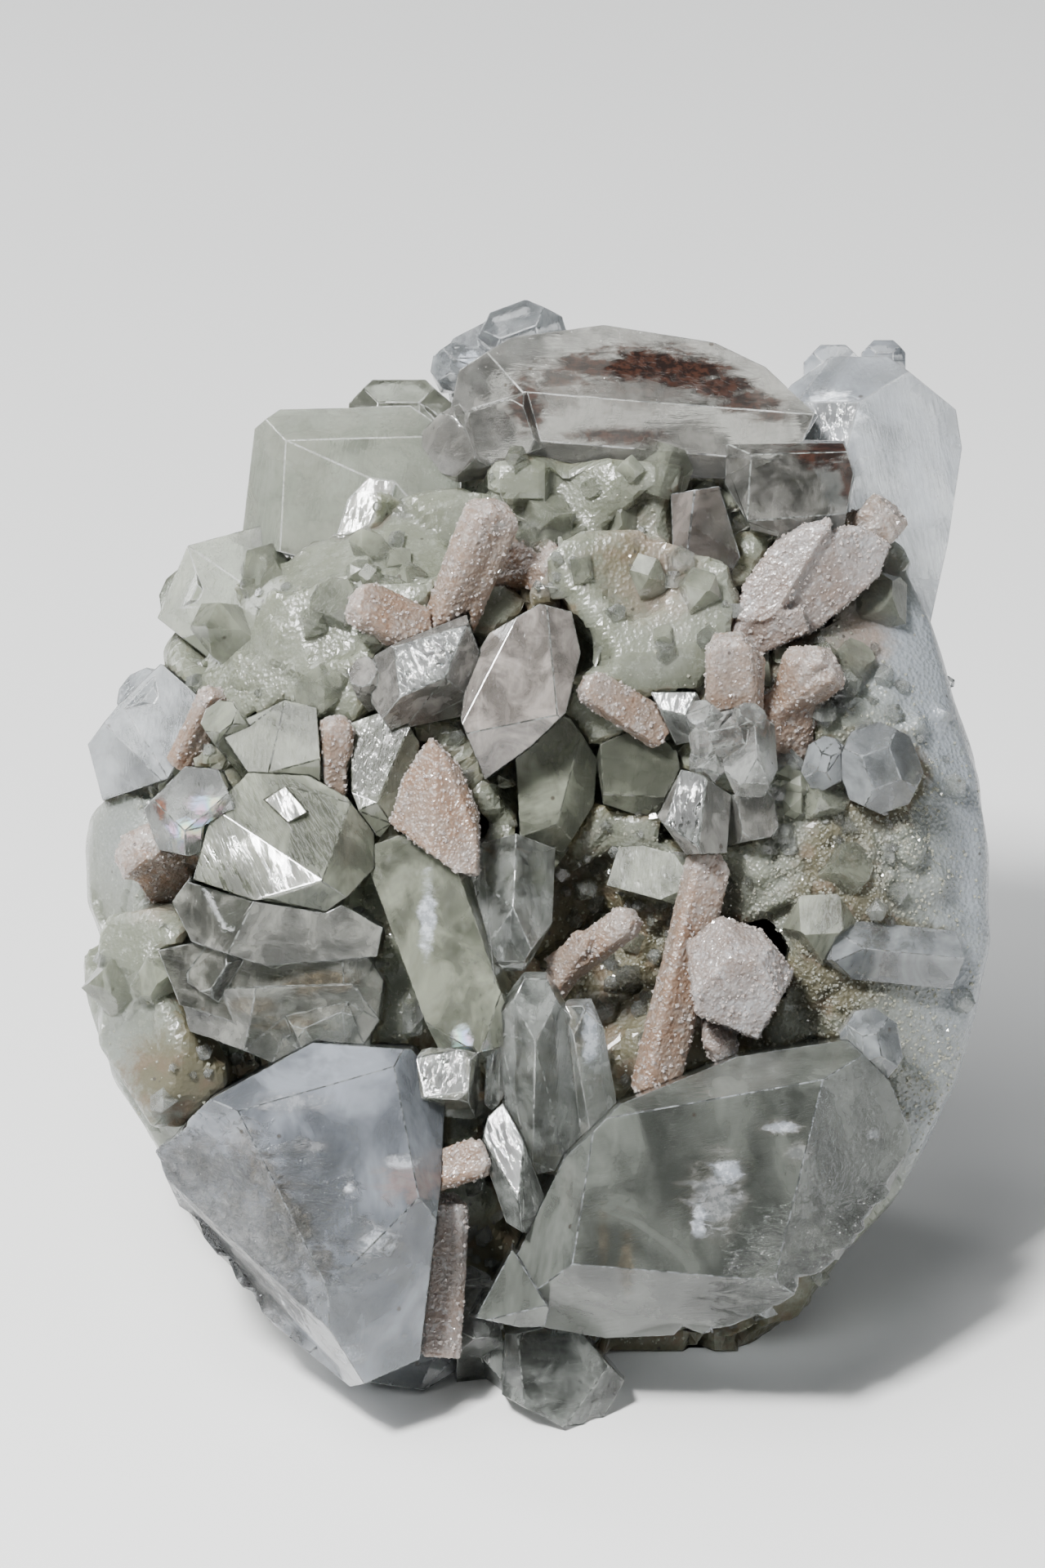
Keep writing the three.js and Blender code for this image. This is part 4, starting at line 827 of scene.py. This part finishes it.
bladeNames = sorted(name for name in frame["nodes"] if name.startswith("stilbite"))
for name in bladeNames:
    bm = packedCopy(name)
    closeSeat(bm, finishedTrees)
    bladeTree = BVHTree.FromBMesh(bm)
    mesh = remeshed(f"{name}_look", bm, bladeShape["voxel"])
    finishedTrees.append(bladeTree)
    points, normals = vertexArrays(mesh)
    axis = bladeAxes[name]
    grain = alongGrain(points, axis)
    moves = np.empty(len(points))
    for i, (across, over, along) in enumerate(grain):
        spot = Vector((across, over, along))
        grainy = noise.noise(spot * 3.1) + 0.6 * noise.noise(spot * 6.3)
        ribs = Vector((across, over, along * bladeShape["ribLength"])) * bladeShape["ribs"]
        moves[i] = grainy * bladeShape["swell"] + noise.noise(ribs) * bladeShape["ridge"]
    setPoints(mesh, points + normals * moves[:, None] * mm)
    stone = frostedStone if name in frostedBlades else stilbiteStone
    piece = placePiece(f"{name}_look", mesh, [stone], [name])
    grainAttribute(piece.data, axis)
    lengths = grain[:, 2]
    share = (lengths - lengths.min()) / (lengths.max() - lengths.min())
    tip = np.clip(share * 3 - 2, 0, 1).astype(np.float32)
    mesh.attributes.new("tip", "FLOAT", "POINT").data.foreach_set("value", tip)
print("stilbite dressed:", len(bladeNames))


# The host rock

hostShape = {
    "voxel": 0.42,  # mm
    "coarse": {"count": 420, "tilt": 0.24, "reach": 1.1},  # flats a few mm wide, reach in mm
    "small": {"count": 5000, "tilt": 0.4, "reach": 0.3},
    "fine": 0.09,  # mm height of the grain
    "seat": 0.62,  # mm from a crystal within which the host closes up to it
    "under": 0.06,  # mm that it then goes under the crystal's skin
    "footing": 0.4,  # mm above the floor that keep their shape
    "rindEdge": 0.35,  # share of rind from which the host is smooth
}
# spots on the face: middle, radius and strength
dirtSpots = [
    ((3.5, -6, -3), 7.5, 0.75),
    ((9, -12, -2), 5, 0.6),
    ((-4, -14, -2), 4.5, 0.6),
    ((-3, -28, -2), 4.5, 0.7),
    ((6.4, 19.8, 0), 2.6, 0.5),
    ((2, 19, -3), 3.5, 0.6),
    ((20.5, -3.6, 2), 3.6, 0.85),
    ((23.5, 4.5, 2), 2.6, 0.8),
    ((20, -8.6, 2), 3.2, 0.75),
    ((25.5, 6.4, 0), 1.8, 0.8),
    ((19.5, 1, 2), 2.4, 0.55),
    ((-21, -13.6, -1), 3.6, 0.6),
    ((-24, -14, -3), 3.4, 0.9),
    ((-17, -9, 1), 3, 0.5),
    ((15, 13, 0), 3, 0.5),
    ((4, -31, -3), 8, 0.6),
    ((16, -29, -6), 6, 0.45),
    ((-12, 0, -22), 9, 0.4),
    ((12, 12, -23), 10, 0.35),
]
sugarSpots = [
    ((20, -2, 2), 7, 1.0),
    ((23, 5, 1), 4.5, 0.9),
    ((21, -10, 2), 5, 0.8),
    ((6, -4, -4), 8, 0.5),
    ((-19, 12, -2), 4, 0.35),
    ((7, 21, -1), 4, 0.45),
    ((12, 22, -2), 4, 0.35),
    ((-9, 17, -2), 5, 0.3),
    ((0, 0, -24), 22, 0.5),
]
rosySpots = [
    ((22, 15, -2), 3, 0.6),
    ((24, 20, -4), 3, 0.5),
    ((17, 12, 0), 3, 0.7),
    ((8, 18, -1), 4.5, 0.6),
    ((1, 18.5, -3), 3, 0.9),
    ((-25, -1, -2), 3.4, 0.8),
    ((-21, 9, -2), 2.4, 0.6),
    ((12, -6, 0), 3.4, 0.5),
    ((-7, -21, 2), 2.4, 0.6),
    ((7, 24, 0), 3.6, 0.35),
]
rindSpots = [
    ((30, 0, -4), 5.5, 1.0),
    ((29, 9, -4), 6, 1.0),
    ((29, -9, -4), 5.5, 1.0),
    ((25.5, 14.5, -5), 5, 0.9),
    ((26, -18, -5), 4, 0.8),
    ((-29, 2, -6), 5, 0.5),
    ((-27, -14, -5), 6, 0.4),
]


def brokenFacets(points, normals, settings):
    # broken crystal breaks in flats: each point moves onto the tilted plane of its nearest seed
    seeds = scatterDice.choice(len(points), settings["count"], replace=False)
    tree = KDTree(len(seeds))
    for i, seed in enumerate(seeds):
        tree.insert(points[seed], i)
    tree.balance()
    nearest = np.array([tree.find(point)[1] for point in points])
    planes = normals[seeds] + scatterDice.normal(0, settings["tilt"], (len(seeds), 3))
    planes /= np.linalg.norm(planes, axis=1)[:, None]
    offset = ((points[seeds][nearest] - points) * planes[nearest]).sum(1)
    along = np.maximum((normals * planes[nearest]).sum(1), 0.5)
    return np.clip(offset / along / mm, -settings["reach"], 0.4 * settings["reach"])


def spotField(places, spots):
    total = np.zeros(len(places))
    for middle, radius, strength in spots:
        distance = np.linalg.norm(places - np.array(middle), axis=1) / radius
        total += strength * np.exp(-distance * distance)
    return np.clip(total, 0, 1)


hostMesh = remeshed("host_rock_look", packedCopy("host_rock"), hostShape["voxel"])
points, normals = vertexArrays(hostMesh)
places = faceArray(points)
sugarField = spotField(places, sugarSpots)
rindField = spotField(places, rindSpots)
dirtField = spotField(places, dirtSpots)
rosyField = spotField(places, rosySpots)
coarse = brokenFacets(points, normals, hostShape["coarse"])
small = brokenFacets(points, normals, hostShape["small"])
grainy = np.array([noise.noise(Vector(place) * 3.7) + noise.noise(Vector(place) * 1.9) for place in places])
calm = 1 - 0.85 * rindField
height = (coarse * (1 - 0.4 * sugarField) + small * sugarField) * calm
height += hostShape["fine"] * grainy * (0.15 + sugarField) * calm
floorHeight = points[:, 2].copy()
points += normals * height[:, None] * mm
foot = floorHeight < 0.5 * mm  # stays flat
points[foot, 2] = floorHeight[foot]
reach, under = hostShape["seat"] * mm, hostShape["under"] * mm
crowded = np.zeros(len(points))
for i, point in enumerate(points):
    here = Vector(point)
    for tree in finishedTrees:
        spot, _, _, distance = tree.find_nearest(here, reach)
        if spot:
            crowded[i] = 1
            if distance > 1e-7 and point[2] > hostShape["footing"] * mm:
                points[i] = here + (spot - here) * (1 + under / distance)
            break
ends = np.empty(len(hostMesh.edges) * 2, np.int32)
hostMesh.edges.foreach_get("vertices", ends)
ends = ends.reshape(-1, 2)
neighbours = np.bincount(ends.ravel(), minlength=len(points))[:, None]


def neighbourMean(values):
    total = np.zeros_like(values)
    np.add.at(total, ends[:, 0], values[ends[:, 1]])
    np.add.at(total, ends[:, 1], values[ends[:, 0]])
    return total / neighbours


def ease(where, share, turns):  # evens out the points there, bar the footing
    chosen = where & (points[:, 2] > hostShape["footing"] * mm)
    for turn in range(turns):
        points[chosen] += (neighbourMean(points) - points)[chosen] * share


# the steps between the flats, the seam round each crystal, and the steps of remeshing in the rind
ease(np.ones(len(points), bool), 0.45, 1)
seam = neighbourMean(neighbourMean(crowded[:, None]))[:, 0]
ease((seam > 0.02) & (seam < 0.98), 0.5, 3)
ease(rindField > hostShape["rindEdge"], 0.5, 6)
points[:, 2] = np.maximum(points[:, 2], 0)
setPoints(hostMesh, points)
fields = {
    # the dirt spots, and the host made darker wherever it lies close to a crystal
    "dirt": dirtField + 0.35 * crowded,
    "rind": rindField,
    "sugary": sugarField,
    "rosy": rosyField,
}
for key, field in fields.items():
    hostMesh.attributes.new(key, "FLOAT", "POINT").data.foreach_set("value", field.astype(np.float32))
corners = np.empty(len(hostMesh.loops), np.int32)
hostMesh.loops.foreach_get("vertex_index", corners)
starts = np.empty(len(hostMesh.polygons), np.int32)
hostMesh.polygons.foreach_get("loop_start", starts)
hostMesh.polygons.foreach_set("use_smooth", rindField[corners[starts]] > hostShape["rindEdge"])
placePiece("host_rock_look", hostMesh, [hostStone], ["host_rock"])
print("host dressed:", len(hostMesh.vertices), "points")


# Small crystals that crowd the hollows, and the druse that dusts the blades


def pointsAndFaces(bm):
    bmesh.ops.triangulate(bm, faces=bm.faces)
    bmesh.ops.recalc_face_normals(bm, faces=bm.faces)
    bm.verts.index_update()
    points = np.array([vert.co[:] for vert in bm.verts])
    faces = np.array([[vert.index for vert in face.verts] for face in bm.faces])
    bm.free()
    return points, faces


def tinyCrystal(stretch, taper):
    # a square prism with cut corners, standing on its root
    bm = bmesh.new()
    bmesh.ops.create_cube(bm, size=2)
    bmesh.ops.scale(bm, vec=(1, 1, stretch), verts=bm.verts)
    for x in (-1, 1):
        for y in (-1, 1):
            cut = Vector((x, y, 0.8)).normalized()
            at = Vector((x * taper, y * taper, stretch))
            geometry = bm.verts[:] + bm.edges[:] + bm.faces[:]
            bmesh.ops.bisect_plane(bm, geom=geometry, plane_co=at, plane_no=cut, clear_outer=True)
            loose = [edge for edge in bm.edges if edge.is_boundary]
            bmesh.ops.holes_fill(bm, edges=loose)
    return pointsAndFaces(bm)


def tinyGrain():
    bm = bmesh.new()
    bmesh.ops.create_uvsphere(bm, u_segments=4, v_segments=2, radius=1)
    return pointsAndFaces(bm)


def surfaceSamples(mesh, count, weight):
    # random places on a mesh, more where the weight is high; weight gets centres and normals
    mesh.calc_loop_triangles()
    corners = np.empty(len(mesh.loop_triangles) * 3, np.int32)
    mesh.loop_triangles.foreach_get("vertices", corners)
    points, _ = vertexArrays(mesh)
    a, b, c = (points[corners.reshape(-1, 3)[:, i]] for i in range(3))
    normals = np.cross(b - a, c - a)
    area = np.linalg.norm(normals, axis=1)
    normals /= np.maximum(area, 1e-18)[:, None]
    share = area * weight((a + b + c) / 3, normals)
    picked = scatterDice.choice(len(share), count, p=share / share.sum())
    r, s = scatterDice.random(count), scatterDice.random(count)
    flip = r + s > 1
    r, s = np.where(flip, 1 - r, r), np.where(flip, 1 - s, s)
    spots = a[picked] + (b - a)[picked] * r[:, None] + (c - a)[picked] * s[:, None]
    return spots, normals[picked]


def scattered(name, shapes, spots, normals, sizes, tilt, materials):
    # one joined mesh of small solids, each turned about its own place on the surface
    axes = normals + scatterDice.normal(0, tilt, normals.shape)
    axes /= np.linalg.norm(axes, axis=1)[:, None]
    helper = np.where(np.abs(axes[:, :1]) > 0.8, [[0.0, 1.0, 0.0]], [[1.0, 0.0, 0.0]])
    side = np.cross(axes, helper)
    side /= np.linalg.norm(side, axis=1)[:, None]
    other = np.cross(axes, side)
    turn = scatterDice.random(len(spots)) * 2 * math.pi
    first = side * np.cos(turn)[:, None] + other * np.sin(turn)[:, None]
    second = np.cross(axes, first)
    kinds = scatterDice.integers(0, len(shapes), len(spots))
    allPoints, allFaces, used = [], [], 0
    for kind, (points, faces) in enumerate(shapes):
        chosen = np.where(kinds == kind)[0]
        local = points[None] * sizes[chosen, None, None]
        world = (
            local[..., 0:1] * first[chosen, None]
            + local[..., 1:2] * second[chosen, None]
            + local[..., 2:3] * axes[chosen, None]
            + spots[chosen, None]
        )
        allPoints.append(world.reshape(-1, 3))
        offsets = used + np.arange(len(chosen)) * len(points)
        allFaces.append((faces[None] + offsets[:, None, None]).reshape(-1, 3))
        used += len(chosen) * len(points)
    mesh = bpy.data.meshes.new(name)
    mesh.from_pydata(np.concatenate(allPoints), [], np.concatenate(allFaces))
    piece = placePiece(name, mesh, materials)
    grainAttribute(piece.data, (0.1, 0.99, 0.1))
    return piece


crowds = {
    # count, least and most size in mm, and the spots that each kind of small crystal favours
    "host_blocks": {
        "count": 165,
        "size": (0.6, 1.8),
        "spots": [
            ((7, 24, -2), 4.5, 0.8),
            ((1, 22, -2), 3.5, 0.5),
            ((-11, 17, -3), 5, 0.6),
            ((-22, 12, -3), 5, 0.9),
            ((-24, 5, -4), 5, 0.8),
            ((-17, 20, -5), 3, 0.7),
            ((-26, -6, -4), 5, 0.6),
            ((-10, 12, -2), 4, 0.4),
            ((10, 15, -1), 4, 0.4),
            ((-3, 2, -2), 6, 0.9),
            ((16, 12, 0), 5, 0.9),
            ((17, 3, 1), 5, 0.9),
            ((-18, -8, -1), 5, 0.8),
            ((-4, -12, -2), 5, 0.7),
            ((8, -33, -5), 6, 0.8),
            ((0, 8, -28), 22, 0.35),
            ((-2, -12, -26), 13, 0.3),
        ],
    },
    "small_crystals": {
        "count": 620,
        "size": (0.22, 0.8),
        "spots": [
            ((5, -3, -3), 7, 1.0),
            ((-4, -14, 0), 4, 0.9),
            ((20, 5, 1), 5, 1.0),
            ((18, 10, 0), 4, 0.8),
            ((-16, -8, 1), 5, 0.7),
            ((-4, -28, -2), 4, 0.8),
            ((8, -32, -3), 6, 0.7),
            ((-17, 20, -4), 2.5, 0.9),
            ((-24, 8, -4), 4, 0.5),
            ((10, 18, 0), 4, 0.45),
            ((0, 16, 0), 4, 0.4),
            ((-22, -14, -2), 3, 0.6),
            ((16, 14, 0), 4, 0.6),
            ((-8, 8, 0), 4, 0.5),
            ((0, 0, -24), 24, 0.25),
        ],
    },
    "sugar_grains": {
        "count": 9000,
        "size": (0.07, 0.2),
        "spots": [
            ((20, -2, 2), 6, 1.0),
            ((23, 5, 1), 4, 1.0),
            ((21, -11, 2), 5, 1.0),
            ((8, -6, -2), 6, 0.6),
            ((18, 12, 0), 4, 0.5),
            ((-22, 6, -4), 5, 0.25),
            ((27, -15, -3), 4, 0.7),
            ((-16, -8, 1), 6, 0.4),
            ((4, -31, -3), 6, 0.5),
            ((0, 0, -24), 26, 0.1),
        ],
    },
    "blade_druse": {"count": 9000, "size": (0.07, 0.22)},
}


def crowdSizes(size, count):  # most are near the least size
    low, high = size
    return (low + (high - low) * scatterDice.random(count) ** 2.2) * mm


def favoured(spots, lowest):
    def favour(middles, outward):
        # none low down, and few that stand out past the outline
        level = np.clip(np.abs(outward @ np.array(faceOut)) * 2.5 - 0.6, 0, 1)
        return spotField(faceArray(middles), spots) * (middles[:, 2] > lowest * mm) * level

    return favour


tinyShapes = [tinyCrystal(1.1, 0.55), tinyCrystal(1.9, 0.45), tinyCrystal(0.7, 0.7)]
sugarMaterial = sparkleMaterial("sugar_grains", (0.34, 0.34, 0.275), 0.35)
crowdLooks = {
    # shapes, how far they lean, lowest place in mm, material and slot
    "host_blocks": (tinyShapes, 0.5, 2.5, crystalMaterials["apophyllite_green"], "apophyllite_green"),
    "small_crystals": (tinyShapes, 0.45, 1.5, crystalMaterials["apophyllite_clear"], "apophyllite_clear"),
    "sugar_grains": ([tinyGrain()], 0.9, 0.8, sugarMaterial, "host"),
}
for name, (shapes, leaning, lowest, material, slot) in crowdLooks.items():
    crowd = crowds[name]
    spots, normals = surfaceSamples(hostMesh, crowd["count"], favoured(crowd["spots"], lowest))
    sizes = crowdSizes(crowd["size"], crowd["count"])
    scattered(name, shapes, spots, normals, sizes, leaning, [material])
druse = crowds["blade_druse"]
bladePieces = [bpy.data.objects[f"{name}_look"] for name in bladeNames]
bladeAreas = np.array([sum(face.area for face in piece.data.polygons) for piece in bladePieces])
perBlade = np.maximum(1, (druse["count"] * bladeAreas / bladeAreas.sum()).astype(int))
parts = [
    surfaceSamples(piece.data, count, lambda middles, outward: np.ones(len(middles)))
    for piece, count in zip(bladePieces, perBlade)
]
spots, normals = (np.concatenate(column) for column in zip(*parts))
sizes = crowdSizes(druse["size"], len(spots))
druseMaterial = sparkleMaterial("blade_druse", (0.46, 0.41, 0.38), 0.4)
scattered("blade_druse", [tinyGrain()], spots, normals, sizes, 0.9, [druseMaterial])
print("small crystals and druse scattered")


# Floor, light and camera

studio = {
    "floor": (0.74, 0.74, 0.73),
    "floorPale": (0.77, 0.77, 0.76),
    "sky": (0.80, 0.83, 0.88),
    "wall": (0.2, 0.2, 0.21),  # the dim room behind the camera
    "skyStrength": 0.2,
}

floorMaterial, start = newMaterial("floor")
cast = start.noise(start.node("ShaderNodeTexCoord", output=3), 6, 3)
floorTone = cast.between(0.3, 0.7).fade(studio["floor"], studio["floorPale"])
output(start.principled({"Base Color": floorTone, "Roughness": 0.7}))
bm = bmesh.new()
bmesh.ops.create_grid(bm, x_segments=2, y_segments=2, size=1.5)
floorMesh = bpy.data.meshes.new("floor")
bm.to_mesh(floorMesh)
bm.free()
floorMesh.materials.append(floorMaterial)
floor = bpy.data.objects.new("floor", floorMesh)
bpy.context.scene.collection.objects.link(floor)

world = bpy.data.worlds.new("studio")
bpy.context.scene.world = world
world.use_nodes = True
world.node_tree.nodes.clear()
start = Pattern(world.node_tree)
skyWay = start.node("ShaderNodeTexCoord")
toRoom = start.node(
    "ShaderNodeVectorMath", {"operation": "DOT_PRODUCT"}, {0: skyWay, 1: (0, -0.9, 0.43)}, 1
)
dimness = toRoom.between(0.2, 0.95)
skyColour = dimness.fade(studio["sky"], studio["wall"])
background = start.node(
    "ShaderNodeBackground", {}, {"Color": skyColour, "Strength": studio["skyStrength"]}
)
output(background, kind="World")


def softbox(name, direction, distance, size, power, colour):
    light = bpy.data.lights.new(name, "AREA")
    light.shape = "RECTANGLE"
    light.size, light.size_y = size
    light.energy = power
    light.color = colour
    lamp = bpy.data.objects.new(name, light)
    bpy.context.scene.collection.objects.link(lamp)
    spot = faceMiddle + direction.normalized() * distance
    lamp.matrix_world = Matrix.Translation(spot) @ direction.to_track_quat("Z", "Y").to_matrix().to_4x4()


keyWay = glint * (2 * glint.dot(faceOut)) - faceOut
softboxes = {
    # way out from the specimen, distance and size in m, power in W, colour
    "key": (keyWay, 0.5, (0.085, 0.085), 6.6, (1, 1, 1)),
    "top": (Vector((-0.45, -0.25, 1)), 0.7, (0.6, 0.5), 4.7, (0.98, 0.99, 1)),
    "fill": (Vector((0.95, -0.35, 0.3)), 0.6, (0.12, 0.4), 0.8, (0.93, 0.97, 1)),
    "rim": (Vector((-0.9, 0.5, 0.5)), 0.6, (0.12, 0.4), 1.8, (0.96, 0.98, 1)),
}
for name, settings in softboxes.items():
    softbox(name, *settings)

camera = {
    "distance": 600,  # mm from the middle of the face, straight out of it
    "focal": 208.1,
    "sensor": 36,
    "aim": (-0.84, 5.135, 0),  # mm on the face
}
eye = bpy.data.cameras.new("camera")
eye.lens = camera["focal"]
eye.sensor_width = camera["sensor"]
eye.clip_start = 0.01
cameraObject = bpy.data.objects.new("camera", eye)
bpy.context.scene.collection.objects.link(cameraObject)
aimPoint = onFace(*camera["aim"])
stand = aimPoint + faceOut * camera["distance"] * mm
turned = faceOut.to_track_quat("Z", "Y").to_matrix().to_4x4()
cameraObject.matrix_world = Matrix.Translation(stand) @ turned
bpy.context.scene.camera = cameraObject
print("floor, light and camera ready")
